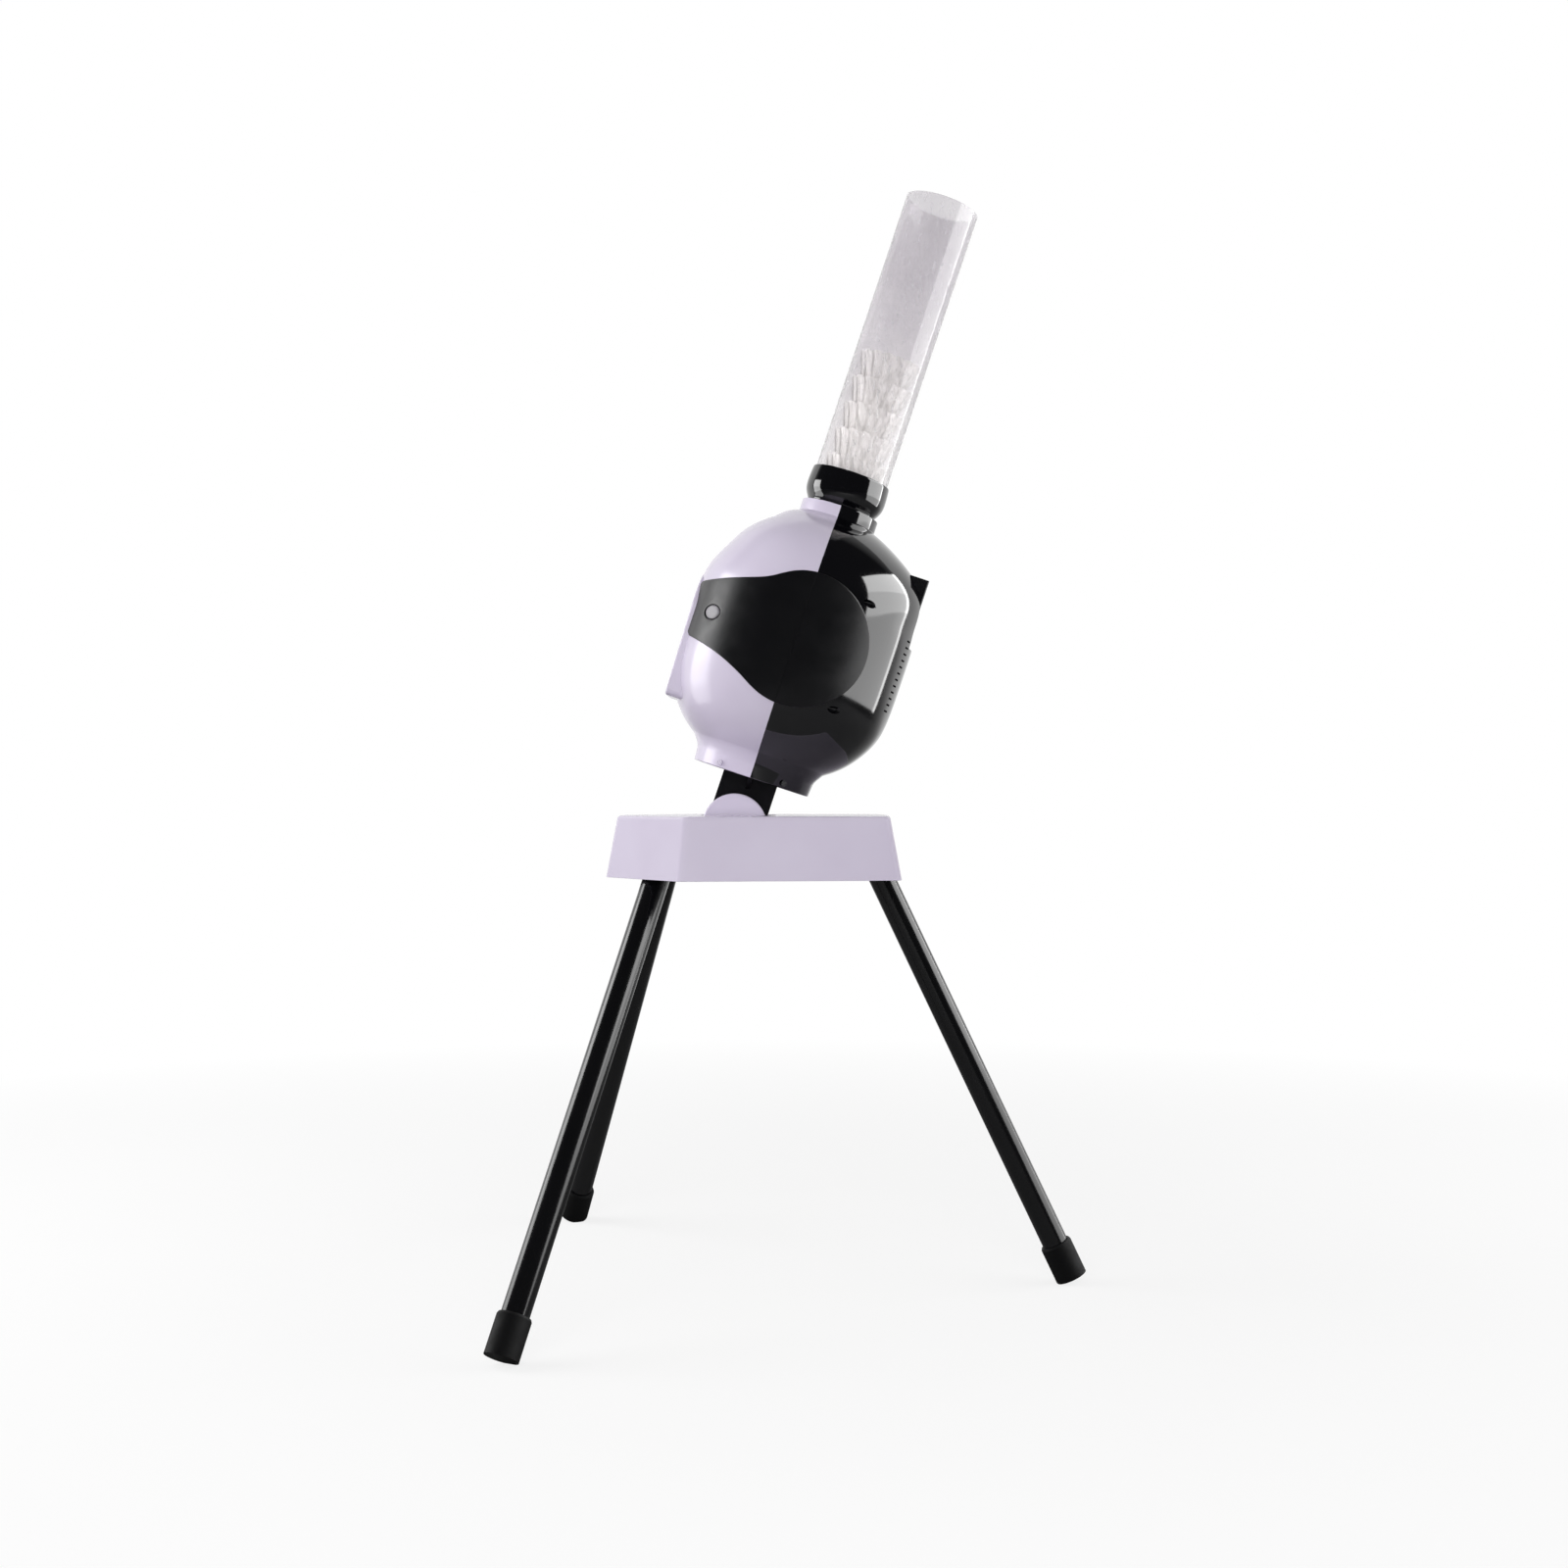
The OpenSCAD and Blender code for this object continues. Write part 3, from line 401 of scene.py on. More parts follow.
def body_radius(w):
    return BODY_RAD * max(0.0, 1 - (abs(w - BODY_MID) / BODY_HALF) ** BODY_M) ** (1 / BODY_N)


def body_slope(w):
    return (body_radius(w + 1e-5) - body_radius(w - 1e-5)) / 2e-5


def body_curve(out, low, high, steps=90):
    """Points (radius, w) of the housing's curve between two heights, moved out square to it."""
    a1, a2 = (math.asin((w - BODY_MID) / BODY_HALF) for w in (low, high))
    points = []
    for i in range(steps + 1):
        w = BODY_MID + BODY_HALF * math.sin(a1 + (a2 - a1) * i / steps)
        slope = body_slope(w)
        length = math.hypot(1, slope)
        points.append((body_radius(w) + out / length, w - out * slope / length))
    return points


def on_body(angle, w, out):
    """The point of the housing at an angle round its axis, moved out square to the surface."""
    slope = body_slope(w)
    length = math.hypot(1, slope)
    r = body_radius(w) + out / length
    return Vector((r * math.cos(angle), r * math.sin(angle), w - out * slope / length))


def seen_from_side(u, w, out):
    """Angle and height on the housing of the point that shows at (u, w) from the near side."""
    low = w
    for _ in range(4):
        slope = body_slope(low)
        low = w + out * slope / math.hypot(1, slope)
    r = body_radius(low) + out / math.hypot(1, body_slope(low))
    return -math.acos(max(-1, min(1, u / r))), low


def smooth_path(points, steps=10):
    """A curve through the points, from the second to the last but one."""
    out = []
    for i in range(1, len(points) - 2):
        a, b, c, d = (Vector(p) for p in points[i - 1:i + 3])
        for k in range(steps):
            t = k / steps
            out.append(0.5 * (2 * b + (c - a) * t + (2 * a - 5 * b + 4 * c - d) * t * t
                              + (3 * b - a - 3 * c + d) * t ** 3))
    return out + [Vector(points[-2])]


def block(low, high):
    """A box to cut with."""
    (x1, y1, z1), (x2, y2, z2) = low, high
    points = [Vector((x, y, z)) for x in (x1, x2) for y in (y1, y2) for z in (z1, z2)]
    return points, [(0, 1, 3, 2), (4, 6, 7, 5), (0, 4, 5, 1), (2, 3, 7, 6), (0, 2, 6, 4), (1, 5, 7, 3)]


def prism(outline, place, depth):
    """A cutter: an outline in its own XY plane, drawn out along Z and then placed."""
    n = len(outline)
    points = [place @ Vector((x, y, z)) for z in (0, depth) for x, y in outline]
    faces = [tuple(range(n))[::-1], tuple(range(n, 2 * n))]
    return points, faces + [(i, (i + 1) % n, n + (i + 1) % n, n + i) for i in range(n)]


def circle(r, steps=48):
    return [(r * math.cos(TAU * i / steps), r * math.sin(TAU * i / steps)) for i in range(steps)]


def facing(at, way):
    """A place at a point, whose Z runs along a direction."""
    return Matrix.Translation(at) @ Vector(way).to_track_quat("Z", "Y").to_matrix().to_4x4()


def faces_out(mesh):
    """Turns the faces of a closed mesh outwards."""
    shaper = bmesh.new()
    shaper.from_mesh(mesh)
    bmesh.ops.recalc_face_normals(shaper, faces=shaper.faces)
    shaper.to_mesh(mesh)
    shaper.free()


def cut(piece, *cutters):
    """Cuts shapes out of a piece, and rounds the shading of what is left."""
    mesh = bpy.data.meshes.new("cutter")
    points, faces = joined(cutters)
    mesh.from_pydata([tuple(p) for p in points], [], faces)
    cutter = bpy.data.objects.new("cutter", mesh)
    bpy.context.scene.collection.objects.link(cutter)
    faces_out(mesh)
    modifier = piece.modifiers.new("cut", "BOOLEAN")
    modifier.operation, modifier.object, modifier.solver = "DIFFERENCE", cutter, "EXACT"
    bpy.context.view_layer.update()
    result = bpy.data.meshes.new_from_object(piece.evaluated_get(bpy.context.evaluated_depsgraph_get()))
    piece.modifiers.clear()
    old, piece.data = piece.data, result
    result.name = piece.name
    bpy.data.meshes.remove(old)
    bpy.data.objects.remove(cutter)
    bpy.data.meshes.remove(mesh)
    smooth(piece)


def even_shading(piece):
    """Flat faces stay flat where a rounded edge meets them."""
    piece.modifiers.new("even_shading", "WEIGHTED_NORMAL").keep_sharp = True


def eased(value, low, high):
    """From 0 at low to 1 at high, with soft ends."""
    share = max(0.0, min(1.0, (value - low) / (high - low)))
    return share * share * (3 - 2 * share)


def swell(w, far, low, full, still, gone):
    """How far the head departs from round at a height."""
    return far * eased(w, low, full) * (1 - eased(w, still, gone))


def off_round(piece):
    """The head's brow slopes back to the neck, and its back and crown stand a little out."""
    for vertex in piece.data.vertices:
        u, v, w = vertex.co
        share = u * u / max(1e-9, u * u + v * v)
        if u < 0:
            vertex.co.x += share * swell(w, *BROW_IN)
        else:
            vertex.co.x += share * (swell(w, *BACK_OUT) + swell(w, *CROWN_OUT))


def solid(name, points, faces, body, look, place=None, cutters=(), angle=EDGE_ANGLE):
    """A closed piece with its faces turned out, cut in its own frame and then placed."""
    piece = add_mesh(name, points, faces, body, look, None, angle)
    faces_out(piece.data)
    if cutters:
        cut(piece, *cutters)
    if place is not None:
        off_round(piece)
        piece.data.transform(place)
    even_shading(piece)
    return piece


def half_turned(profile, seam, side, steps=110):
    """A closed profile turned half way round, its outer edge eased where the halves meet."""
    n = len(profile)
    centre = Vector((sum(p[0] for p in profile[:seam]) / seam - 0.05, BODY_MID))
    rows = []
    for i in range(-1, steps + 2):
        if i in (-1, steps + 1):
            edge = []
            for k, (r, z) in enumerate(profile):
                inward = (centre - Vector((r, z))).normalized() * SEAM_EDGE if k < seam else Vector((0, 0))
                edge.append((r + inward.x, z + inward.y))
            across = -1 if i == -1 else 1
            rows.append([Vector((0, across * r, z)) for r, z in edge])
        else:
            a = math.pi * (i / steps - 0.5)
            row = [Vector((side * max(SEAM_EDGE, r * math.cos(a)), r * math.sin(a), z)) for r, z in profile]
            rows.append(row)
    points = [p for row in rows for p in row]
    faces = [(i * n + k, (i + 1) * n + k, (i + 1) * n + (k + 1) % n, i * n + (k + 1) % n)
             for i in range(len(rows) - 1) for k in range(n)]
    return points, faces + [tuple(range(n)), tuple(range(len(points) - n, len(points)))]


def housing_profile():
    """Collar, housing and neck, up the outside and down the inside; and how many points lie outside."""
    outside = [(COLLAR_R - 0.001, 0.0), (COLLAR_R, 0.0007), (COLLAR_R + 0.001, COLLAR_H - 0.0075),
               (COLLAR_R + 0.0018, COLLAR_H - 0.0045), (COLLAR_R + 0.0034, COLLAR_H - 0.0015),
               (COLLAR_R + 0.0052, COLLAR_H + 0.0012)]
    outside += body_curve(0, COLLAR_H + 0.005, NECK_LOW - 0.002)
    outside += [(NECK_R + 0.0012, NECK_LOW - 0.0004), (NECK_R, NECK_LOW + 0.0012),
                (NECK_R, NECK_TOP - 0.0010), (NECK_R - 0.0003, NECK_TOP - 0.0003),
                (NECK_R - 0.0010, NECK_TOP)]
    within = [(NECK_BORE, NECK_TOP), (NECK_BORE, SLEEVE_LOW)]
    within += body_curve(-WALL, COLLAR_H + 0.005, NECK_LOW - 0.006, 50)[::-1]
    within += [(COLLAR_R - COLLAR_WALL, COLLAR_H), (COLLAR_R - COLLAR_WALL, 0.0)]
    return outside + within, len(outside)


def arch(r, low, steps=40):
    """A round-topped arch in (v, w), from its near foot up and over to its far foot."""
    top = [(r * math.cos(math.pi * (1 - i / steps)), HOOD_TOP + r * math.sin(math.pi * (1 - i / steps)))
           for i in range(steps + 1)]
    return [(-r, low)] + top + [(r, low)]


def across_front(outline, u1, u2):
    """A cutter of the outline, given in (v, w), through the head's front."""
    place = Matrix(((0, 0, 1, u1), (1, 0, 0, 0), (0, 1, 0, 0), (0, 0, 0, 1)))
    return prism(outline, place, u2 - u1)


def collar_holes(*angles):
    """Cutters of the screw holes in the collar, from within its wall to past it."""
    cutters = []
    for a in (math.radians(d) for d in angles):
        x, y = math.cos(a), math.sin(a)
        cutters.append(prism(circle(COLLAR_HOLE_R, 24),
                             facing((0.05 * x, 0.05 * y, COLLAR_HOLE_RISE), (x, y, 0)), 0.02))
    return cutters


def shells():
    """The two halves of the housing, with their openings. Each cutter starts or ends well past the wall."""
    profile, seam = housing_profile()
    button_way = prism(circle(BUTTON_R + 0.001), facing((BUTTON_U, -0.11, BODY_MID), (0, 1, 0)), 0.07)
    front = solid("front_housing", *half_turned(profile, seam, -1), "head", "lavender_plastic", HEAD,
                  [across_front(arch(OUTLET_R, OUTLET_LOW), -0.13, -0.06), button_way,
                   *collar_holes(180 - COLLAR_HOLE_TURN, COLLAR_HOLE_TURN - 180)])
    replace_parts(front, "front_shell")
    sinks = [prism(circle(SCREW_SINK, 32),
                   facing((SINK_FROM, v * SCREW_SIDE, BODY_MID + w * SCREW_RISE), (1, 0, 0)), 0.1)
             for v in (-1, 1) for w in (-1, 1)]
    vents = [block((0.08, v * VENT_SIDE - VENT_HALF, w), (0.12, v * VENT_SIDE + VENT_HALF, w + VENT_H))
             for v in (-1, 1) for w in (BODY_MID - VENT_H / 2 + VENT_PITCH * (i - (VENT_COUNT - 1) / 2)
                                        for i in range(VENT_COUNT))]
    window = block((PACK_FROM, -PACK_HALF, PACK_LOW), (0.15, PACK_HALF, PACK_HIGH))
    rear = solid("rear_housing", *half_turned(profile, seam, 1), "head", "gloss_black", HEAD,
                 [*sinks, *vents, window, *collar_holes(COLLAR_HOLE_TURN, -COLLAR_HOLE_TURN)])
    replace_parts(rear, "rear_shell")


def screw_wells():
    """The posts round the rear screws, whose mouths follow the housing's wall."""
    steps = 32
    rings = [(SCREW_SINK, None), (SCREW_SINK, WELL_FLOOR), (WELL_BORE, WELL_FLOOR), (WELL_BORE, WELL_FOOT),
             (WELL_R, WELL_FOOT), (WELL_R, None)]
    parts = []
    for side in (-1, 1):
        for rise in (-1, 1):
            points = []
            for r, u in rings:
                for y, z in circle(r, steps):
                    v, w = side * SCREW_SIDE + y, BODY_MID + rise * SCREW_RISE + z
                    mouth = math.sqrt(max(1e-6, (body_radius(w) - WALL * 0.6) ** 2 - v * v))
                    points.append(Vector((max(0.0015, mouth) if u is None else u, v, w)))
            parts.append((points, bands(len(rings), steps)))
    solid("screw_wells", *joined(parts), "head", "gloss_black", HEAD)


def inset_line(line, depth):
    """A closed line of 2-D points, anticlockwise, moved in by a depth."""
    n = len(line)
    out = []
    for i in range(n):
        along = (line[(i + 1) % n] - line[i - 1]).normalized()
        out.append(line[i] + Vector((-along.y, along.x)) * depth)
    return out


def inside(point, line):
    """Whether a point lies within a closed line."""
    hit = False
    for i, b in enumerate(line):
        a = line[i - 1]
        if (a.y > point.y) != (b.y > point.y) and point.x < a.x + (point.y - a.y) * (b.x - a.x) / (b.y - a.y):
            hit = not hit
    return hit


def unrolled(points):
    """Points (angle, w) of the housing laid out flat, anticlockwise."""
    flat = [Vector((a * BODY_RAD, w)) for a, w in points]
    turn = sum(flat[i - 1].x * p.y - p.x * flat[i - 1].y for i, p in enumerate(flat))
    return flat[::-1] if turn < 0 else flat


def hood_half(w):
    """Half width of the outlet's frame at a height."""
    return HOOD_R if w < HOOD_TOP else math.sqrt(max(0, HOOD_R ** 2 - (w - HOOD_TOP) ** 2))


def panel_line():
    """The panel's outline as points (angle, w) on the housing, seen from outside."""
    disc = []
    for i in range(121):
        a = math.radians(DISC_FROM + (DISC_TO - DISC_FROM) * i / 120)
        disc.append((DISC_U + DISC_R * math.cos(a), DISC_R * math.sin(a)))
    low = smooth_path([disc[-8], disc[-1], *BAND_LOW, (-0.13, -0.021)], 12)[1:]
    high = smooth_path([disc[7], disc[0], *BAND_HIGH, (-0.13, 0.023)], 12)[1:]
    line = [seen_from_side(u, BODY_MID + w, PANEL_T) for u, w in disc + [tuple(p) for p in low]]
    w1, w2 = BODY_MID + low[-1].y, BODY_MID + high[-1].y
    for i in range(1, 16):
        w = w1 + (w2 - w1) * i / 16
        line.append((-math.pi + math.asin((hood_half(w) + SEAT) / (body_radius(w) + PANEL_T)), w))
    return line + [seen_from_side(u, BODY_MID + w, PANEL_T) for u, w in [tuple(p) for p in high[::-1]]]


def panel_grid(line, hole, seam_x):
    """Points that fill the panel evenly, with a close pair of columns at the seam between the halves."""
    columns = [seam_x + k * PANEL_GRID for k in range(-40, 40)] + [seam_x - SEAM_HALF, seam_x + SEAM_HALF]
    low_w, high_w = min(p.y for p in line), max(p.y for p in line)
    grid = []
    for x in columns:
        for k in range(int((high_w - low_w) / PANEL_GRID)):
            p = Vector((x, low_w + PANEL_GRID / 2 + k * PANEL_GRID))
            near = min((p - q).length for q in line + hole)
            if near > PANEL_CLEAR and inside(p, line) and not (hole and inside(p, hole)):
                grid.append(p)
    return grid


def side_panel(name, node, side, with_button):
    """A thin moulded panel on the housing, with an eased rim and a hairline where the halves meet."""
    flat = unrolled(panel_line())
    rim = [(0.0, SEAT), (0.0, PANEL_T - 0.0010), (0.00012, PANEL_T - 0.0005), (0.0005, PANEL_T - 0.00012),
           (0.0011, PANEL_T)]
    rings = [(inset_line(flat, d), h) for d, h in rim]
    line = rings[-1][0]
    hole = []
    if with_button:
        hole = unrolled(seen_from_side(BUTTON_U + x, BODY_MID + y, PANEL_T)
                        for x, y in circle(BUTTON_R + 0.0011, 60))
    seam_x = -math.pi / 2 * BODY_RAD
    n, m = len(line), len(hole)
    edges = [(n + i, n + (i + 1) % m) for i in range(m)]
    spots, _, found, origin, _, _ = delaunay_2d_cdt(line + hole + panel_grid(line, hole, seam_x), edges,
                                                    [list(range(n))], 1, 1e-7)
    middles = [sum((spots[i] for i in f), Vector((0, 0))) / len(f) for f in found]
    found = [f for f, middle in zip(found, middles) if not (m and inside(middle, hole))]

    def lift(p, h):
        if h == PANEL_T and abs(p.x - seam_x) < 0.0001:
            h -= SEAM_DIP
        q = on_body(p.x / BODY_RAD, p.y, h)
        return Vector((q.x, side * -q.y, q.z))

    points, faces = [], []

    def surface(h, flip):
        """Adds the whole face at a height, and says which of its points each given one became."""
        first = len(points)
        points.extend(lift(p, h) for p in spots)
        faces.extend(tuple(first + i for i in (f[::-1] if flip else f)) for f in found)
        return {o: first + i for i, group in enumerate(origin) for o in group}

    def edge(ring, h):
        """Adds a ring of points at a height, and says where they are."""
        first = len(points)
        points.extend(lift(p, h) for p in ring)
        return [first + i for i in range(len(ring))]

    def wall(*loops):
        """Joins rings that follow one another."""
        for a, b in zip(loops, loops[1:]):
            faces.extend((a[i], a[(i + 1) % len(a)], b[(i + 1) % len(a)], b[i]) for i in range(len(a)))

    top = surface(PANEL_T, False)
    back = surface(SEAT, True)
    wall([back[i] for i in range(n)], *[edge(ring, h) for ring, h in rings[:-1]], [top[i] for i in range(n)])
    if m:
        mouth = inset_line(hole, 0.0004)
        wall([top[n + i] for i in range(m)], edge(mouth, PANEL_T - 0.0004), edge(mouth, SEAT),
             [back[n + i] for i in range(m)])
    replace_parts(solid(name, points, faces, "head", "black_plastic", HEAD, angle=50), node)


def side_button():
    """A round button whose face follows the panel, with an eased rim."""
    steps = 64
    rows = [(0.25, 0.0), (0.5, 0.0), (0.7, 0.0), (0.84, 0.0001), (0.93, 0.0003), (0.98, 0.0007),
            (1.0, 0.0013)]
    points = []
    for share, drop in rows:
        for x, y in circle(BUTTON_R * share, steps):
            a, w = seen_from_side(BUTTON_U + x, BODY_MID + y, PANEL_T + BUTTON_PROUD)
            points.append(on_body(a, w, PANEL_T + BUTTON_PROUD - drop))
    points += [Vector((BUTTON_U + x, -BUTTON_IN, BODY_MID + y)) for x, y in circle(BUTTON_R, steps)]
    last = len(points) - steps
    faces = bands(len(rows) + 1, steps, closed=False)
    faces += [tuple(range(steps)), tuple(range(last, last + steps))]
    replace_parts(solid("round_button", points, faces, "button", "button_grey", HEAD, angle=60), "side_button")


def hood_line(r, low, corner=HOOD_CORNER):
    """The closed arch in (v, w), with its sides filled in evenly and its feet rounded."""
    heights = [low + corner + (HOOD_TOP - low - corner) * i / 16 for i in range(17)]
    side = [(-r, w) for w in heights[:-1]]
    up = [(r, w) for w in heights[1:]]
    foot = arc(-r + corner, low + corner, corner, 180, 270)[:-1]
    bottom = [(-r + corner + 2 * (r - corner) * i / 16, low) for i in range(17)]
    far = arc(r - corner, low + corner, corner, -90, 0)[1:]
    return side + arch(r, low)[1:-2] + up[::-1] + far[::-1] + bottom[::-1] + foot[::-1]


def outlet_frame():
    """The raised frame round the outlet: it stands on the curved front, its rims are rounded."""
    outer, inner = hood_line(HOOD_R, HOOD_LOW), hood_line(OUTLET_R, OUTLET_LOW)
    n = len(outer)
    tilt = math.tan(math.radians(HOOD_TILT))
    middle = (HOOD_LOW + HOOD_TOP + HOOD_R) / 2
    # Each rim from the housing up to the face: how far below the face, and how far in from its edge
    edge = HOOD_EDGE
    rim = [(None, 0.0), (edge, 0.0), (edge * 0.62, edge * 0.08), (edge * 0.3, edge * 0.3),
           (edge * 0.08, edge * 0.62), (0.0, edge)]
    points = []
    for line, other, rows, wall, sunk in ((outer, inner, rim, 0.0, 0.0002),
                                          (inner, outer, rim[::-1], WALL, -0.0004)):
        for depth, set_in in rows:
            for k in range(n):
                here, there = Vector(line[k]), Vector(other[k])
                p = here + (there - here).normalized() * set_in
                r = body_radius(p.y) - wall
                foot = -math.sqrt(max(1e-9, r * r - p.x * p.x)) + sunk
                face_u = -HOOD_U - (p.y - middle) * tilt
                points.append(Vector((foot if depth is None else min(foot, face_u + depth), p.x, p.y)))
    faces = bands(2 * len(rim), n)
    hood = solid("outlet_frame", points, faces, "head", "lavender_plastic", HEAD, angle=60)
    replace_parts(hood, "outlet_bezel")


def tube_cup():
    """A turned cup: a stem, a soft flare, a straight wall and a rounded rim."""
    flare = smooth_path([(0.0350, 0.2810), (0.0350, 0.2862), (0.0362, 0.2888), (0.0384, 0.2925),
                         (0.0401, 0.2966), (0.0409, 0.3013), (0.0410, 0.3065), (0.0406, 0.3140),
                         (0.0402, 0.3186), (0.0401, 0.3210)], 6)
    profile = [(0.0328, 0.2731), (0.0347, 0.2731), (0.0350, 0.2734), *[tuple(p) for p in flare],
               (0.03995, 0.3197), (0.0396, 0.3202), (0.0380, 0.3202), (0.0378, 0.3199), (0.0378, 0.2977),
               (0.0328, 0.2977)]
    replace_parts(solid("tube_socket", *turned(profile, 144), "head", "gloss_black", HEAD), "tube_cup")


def round_outline(depth, r, steps=8):
    """The base's outline set in by a depth, with its corners rounded."""
    n = len(BASE_OUTLINE)
    out = []
    for i in range(n):
        p, q, s = (Vector(BASE_OUTLINE[k % n]) for k in (i - 1, i, i + 1))
        d1, d2 = (q - p).normalized(), (s - q).normalized()
        n1, n2 = Vector((d1.y, -d1.x)), Vector((d2.y, -d2.x))
        corner = q - (depth + r) * (n1 + n2) / (1 + n1.dot(n2))
        a1 = math.atan2(n1.y, n1.x)
        sweep = (math.atan2(n2.y, n2.x) - a1) % TAU
        turns = [a1 + sweep * k / steps for k in range(steps + 1)]
        out += [corner + r * Vector((math.cos(a), math.sin(a))) for a in turns]
    return out


def base_cover():
    """The tapered cover of the base, open below, with rounded edges and a slot for the hinge."""
    ease, top_round = BASE_FOOT_EASE, BASE_TOP_ROUND
    slope = BASE_DRAFT / (BASE_HIGH - BASE_LOW - BASE_DRAFT_DROP)
    side = BASE_HIGH - top_round
    in_side = slope * (side - BASE_LOW)
    flat_in = in_side + top_round + BASE_TOP_FLAT
    # Rings of the outside from the foot up, then of the inside down: how far in, corner radius, height
    rings = [(ease, BASE_ROUND, BASE_LOW), (ease * 0.3, BASE_ROUND, BASE_LOW + ease * 0.3),
             (slope * ease, BASE_ROUND, BASE_LOW + ease), (in_side, BASE_ROUND, side)]
    for k in range(1, 9):
        a = math.radians(90 * k / 8)
        set_in = top_round * (1 - math.cos(a))
        rings.append((in_side + set_in, BASE_ROUND - set_in, side + top_round * math.sin(a)))
    rings.append((flat_in, BASE_ROUND - top_round, BASE_HIGH))
    top, under = len(rings) - 1, len(rings)
    rings += [(flat_in, BASE_ROUND - top_round, BASE_HIGH - BASE_WALL),
              (BASE_WALL + in_side, BASE_ROUND - BASE_WALL, BASE_HIGH - BASE_WALL),
              (BASE_WALL, BASE_ROUND - BASE_WALL, BASE_LOW)]
    lines = [[Vector((p.x, p.y, z)) for p in round_outline(depth, r)] for depth, r, z in rings]
    n = len(lines[0])
    faces = bands(len(rings), n, skip=top)
    faces += [tuple(range(top * n, top * n + n)), tuple(range(under * n, under * n + n))]
    x1, x2, y = HINGE_SLOT
    r = SLOT_ROUND
    corners = ((x2 - r, y - r, 0), (x1 + r, y - r, 90), (x1 + r, -y + r, 180), (x2 - r, -y + r, 270))
    slot = [point for cx, cy, a in corners for point in arc(cx, cy, r, a, a + 90)]
    opening = prism(slot, Matrix.Translation((0, 0, BASE_HIGH - 0.010)), 0.02)
    points = [p for line in lines for p in line]
    cover = solid("base_cover", points, faces, "stand", "lavender_plastic", None, [opening])
    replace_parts(cover, "base_shell")


def feather(turn):
    """A stem rooted in the cork and a curved vane that overlaps the next feather."""
    root = Vector((ROOT_R, 0, ROOT_H))
    tip = Vector((SKIRT_R, 0, SKIRT_TOP))
    along = tip - root
    around = Vector((0, 1, 0))
    out = along.normalized().cross(around) * -1
    spin = Matrix.Rotation(turn, 3, "Z")
    points = []
    for i in range(STEM_STEPS + 1):
        share = i / STEM_STEPS
        r = STEM_R * (1.15 - 0.75 * share)
        for k in range(STEM_SIDES):
            a = TAU * k / STEM_SIDES
            edge = (around * math.cos(a) + out * math.sin(a)) * r
            points.append(spin @ (root + along * share * 0.985 + edge))
    faces = bands(STEM_STEPS + 1, STEM_SIDES, closed=False)
    first, n = len(points), len(VANE_ACROSS)
    for share, width in VANE_SHAPE:
        for c in VANE_ACROSS:
            side = c * width * VANE_HALF
            lift = 0.10 * side - 14 * side * side
            points.append(spin @ (root + along * share + around * side + out * lift))
    for i in range(len(VANE_SHAPE) - 1):
        for k in range(n - 1):
            a = first + i * n + k
            faces.append((a, a + 1, a + 1 + n, a + n))
    return points, faces


def shuttlecocks():
    """The stack: corks, feathers and the two rings of thread round each skirt."""
    cork = arc(0, CORK_R, CORK_R, -89.5, 0, 8) + [(CORK_R, CORK_H - 0.0012), (CORK_R - 0.0012, CORK_H),
                                                 (0.0001, CORK_H)]
    thread = arc(0, 0, THREAD_R, 0, 360, 8)[:-1]
    corks, skirts, rings = [], [], []
    for i in range(SHUTTLE_COUNT):
        rise = Vector((0, 0, CORK_LOW + i * STACK_PITCH))
        twist = i * STACK_TWIST
        p, f = turned(cork, 40, closed=False)
        corks.append(([q + rise for q in p], f))
        for k in range(FEATHERS):
            p, f = feather(twist + TAU * k / FEATHERS)
            skirts.append(([q + rise for q in p], f))
        for share in THREADS_AT:
            r = ROOT_R + (SKIRT_R - ROOT_R) * share
            z = ROOT_H + (SKIRT_TOP - ROOT_H) * share
            p, f = turned([(r + a, z + b) for a, b in thread], 48)
            rings.append(([q + rise for q in p], f))
    skirt = add_mesh("feather_skirts", *joined(skirts), "head", "feather", HEAD, 60)
    add_mesh("corks", *joined(corks), "head", "feather", HEAD, 50)
    add_mesh("thread_rings", *joined(rings), "head", "feather", HEAD, 60)
    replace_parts(skirt, "shuttlecocks")


def camera():
    """The photograph's view: level, along +Y, 2 m away."""
    data = bpy.data.cameras.new("camera")
    data.lens, data.sensor_width, data.shift_y = LENS, SENSOR, SHIFT_UP
    eye = bpy.data.objects.new("camera", data)
    eye.location = EYE
    eye.rotation_euler = (math.radians(90), 0, 0)
    bpy.context.scene.collection.objects.link(eye)
    bpy.context.scene.camera = eye


def softbox(name, at, aim, width, height, watts, lit=True, shows_in=None):
    """A lamp that lights and stays out of the gloss or, not lit, a panel in the gloss of some pieces."""
    data = bpy.data.lights.new(name, "AREA")
    data.shape, data.size, data.size_y, data.energy = "RECTANGLE", width, height, watts
    lamp = bpy.data.objects.new(name, data)
    lamp.location = at
    lamp.rotation_euler = (Vector(aim) - Vector(at)).to_track_quat("-Z", "Y").to_euler()
    lamp.visible_diffuse, lamp.visible_glossy, lamp.visible_transmission = lit, not lit, False
    lamp.light_linking.receiver_collection = shows_in
    bpy.context.scene.collection.objects.link(lamp)


def pieces_without(name, *looks):
    """A set of the pieces that don't have these looks."""
    group = bpy.data.collections.new(name)
    for piece in bpy.data.objects:
        if piece.type == "MESH" and not any(LOOKS[look] in list(piece.data.materials) for look in looks):
            group.objects.link(piece)
    return group


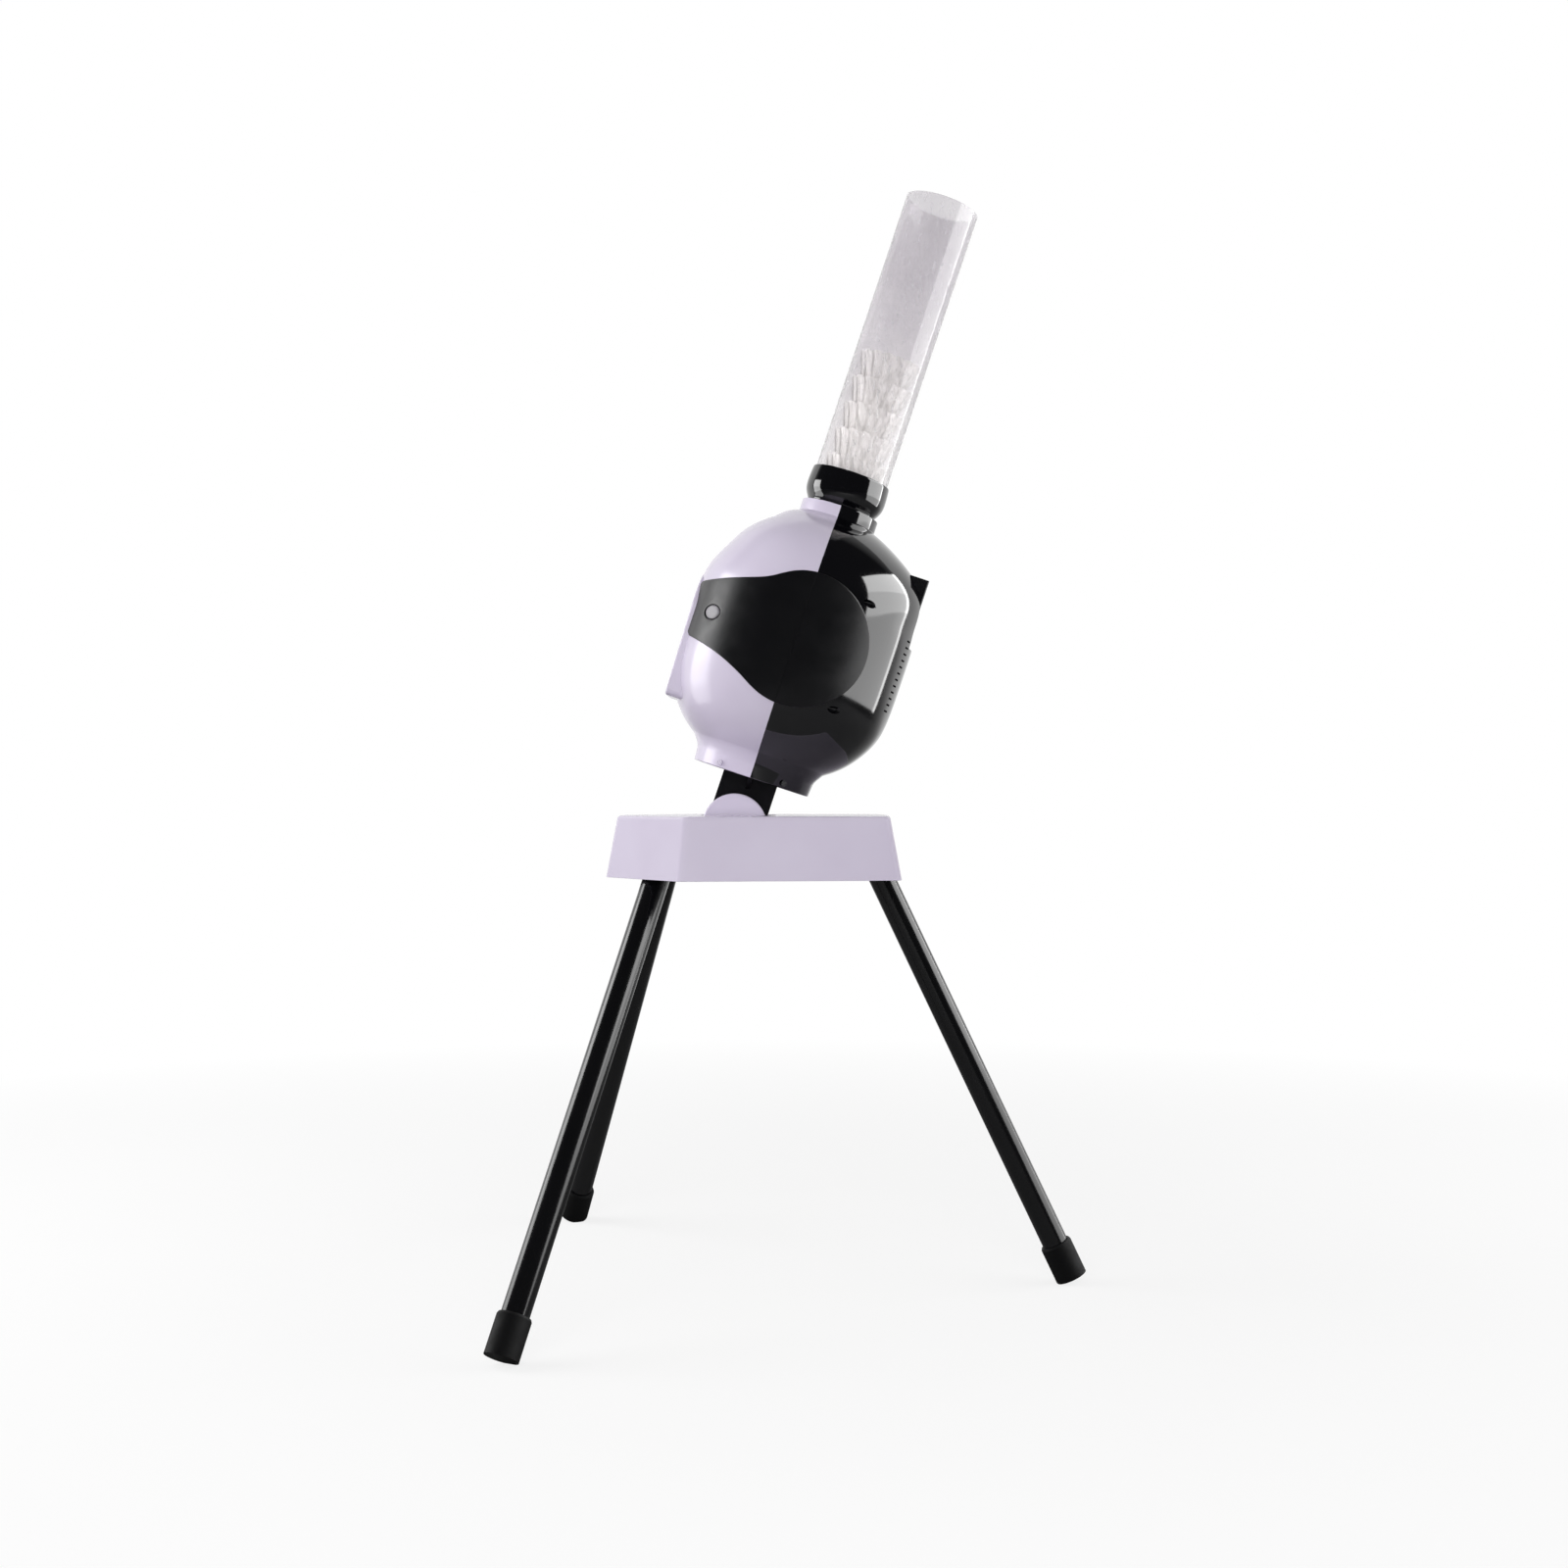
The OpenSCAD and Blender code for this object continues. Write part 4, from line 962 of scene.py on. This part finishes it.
def lights():
    """Soft light from both sides and the front, and panels in the gloss, brighter at the top.

    The pieces have to be there first. The right-hand panels leave out the lavender and white pieces, and the
    left-hand ones the white pieces and the base's cover, which would turn white where they mirror a panel
    at a low angle."""
    for lamp in LAMPS:
        softbox(*lamp)
    on_right = pieces_without("dark_pieces", "lavender_plastic", "white_plastic")
    on_left = pieces_without("mirrors", "white_plastic")
    on_left.objects.unlink(bpy.data.objects["base_cover"])
    for row, low, high, glow in PANEL_ROWS:
        rise, middle = high - low, (low + high) / 2
        for column, x, y, width, share in PANEL_COLUMNS:
            softbox(column + row, (x, y, middle), (0, y, middle), width, rise,
                    glow * share * math.pi * width * rise, lit=False, shows_in=on_right if x > 0 else on_left)


def world():
    """White to the camera. As light and in gloss it is pale behind the machine, dim on the camera's side."""
    sky = bpy.data.worlds.new("studio")
    bpy.context.scene.world = sky
    n = Nodes(sky)
    path = n.add("ShaderNodeLightPath")
    way = n.add("ShaderNodeSeparateXYZ", {"Vector": n.add("ShaderNodeTexCoord").outputs["Generated"]})
    light = n.spread(way.outputs["Y"], 0.10, 0.45, -0.5, 0.6)
    mirrored = n.spread(way.outputs["Y"], 0.03, 1.0, 0.2, 1.0)
    level = n.add("ShaderNodeMix", {"Factor": path.outputs["Is Glossy Ray"], "A": light, "B": mirrored})
    soft = n.add("ShaderNodeBackground", {"Color": (1, 1, 1, 1), "Strength": level.outputs["Result"]})
    white = n.add("ShaderNodeBackground", {"Color": (1, 1, 1, 1), "Strength": 1.0})
    blend = n.add("ShaderNodeMixShader", {0: n.seen(path), 1: soft.outputs[0], 2: white.outputs[0]})
    n.add("ShaderNodeOutputWorld", {"Surface": blend.outputs[0]})


def backdrop():
    """One sheet: a floor that curves up into a wall behind the machine.

    It is pale to the camera, keeps the machine's shadow, and turns to plain white further off. The light that
    it throws back on the machine is that of a grey sheet."""
    profile = [(FLOOR_FROM, 0.0), (BEND_FROM, 0.0)]
    profile += [(BEND_FROM + y, BEND_R + z) for y, z in arc(0, 0, BEND_R, -90, 0, 16)][1:]
    profile += [(BEND_FROM + BEND_R, WALL_TOP)]
    points = [(x, y, z) for y, z in profile for x in (-SHEET_HALF, SHEET_HALF)]
    faces = [(a, a + 1, a + 3, a + 2) for a in range(0, 2 * len(profile) - 2, 2)]
    mesh = bpy.data.meshes.new("backdrop")
    mesh.from_pydata(points, [], faces)
    sheet = bpy.data.objects.new("backdrop", mesh)
    bpy.context.scene.collection.objects.link(sheet)
    mesh.shade_smooth()
    material, n = new_look("backdrop_look")
    path = n.add("ShaderNodeLightPath")
    seen = n.seen(path)
    clouds = n.spread(n.noise(3), 0, 1)
    pale = n.colours(clouds, rgb(248, 248, 248), rgb(251, 251, 251))
    bounce = n.colours(clouds, rgb(122, 122, 122), rgb(126, 126, 126))
    matte = n.add("ShaderNodeBsdfDiffuse", {"Color": n.colours(seen, bounce, pale)})
    glow = n.add("ShaderNodeEmission", {"Color": (1, 1, 1, 1), "Strength": 1.0})
    depth = n.add("ShaderNodeSeparateXYZ", {"Vector": n.place()}).outputs["Y"]
    away = n.add("ShaderNodeVectorMath", {0: n.place()}, operation="LENGTH").outputs["Value"]
    paler = n.reckon("MULTIPLY", seen, n.spread(away, 0.80, 1.0, 0.5, 2.0))
    mirrored = n.reckon("MULTIPLY", path.outputs["Is Glossy Ray"], n.spread(depth, 0.0, 1.0, 0.5, 2.6))
    share = n.reckon("MAXIMUM", paler, mirrored)
    blend = n.add("ShaderNodeMixShader", {0: share, 1: matte.outputs[0], 2: glow.outputs[0]})
    n.add("ShaderNodeOutputMaterial", {"Surface": blend.outputs[0]})
    mesh.materials.append(material)


camera()
world()
backdrop()
dress_cad_nodes()
shells()
screw_wells()
side_panel("near_side_panel", "side_panel_near", -1, True)
side_panel("far_side_panel", "side_panel_far", 1, False)
side_button()
outlet_frame()
tube_cup()
base_cover()
shuttlecocks()
lights()

bpy.context.scene.view_settings.view_transform = "Standard"
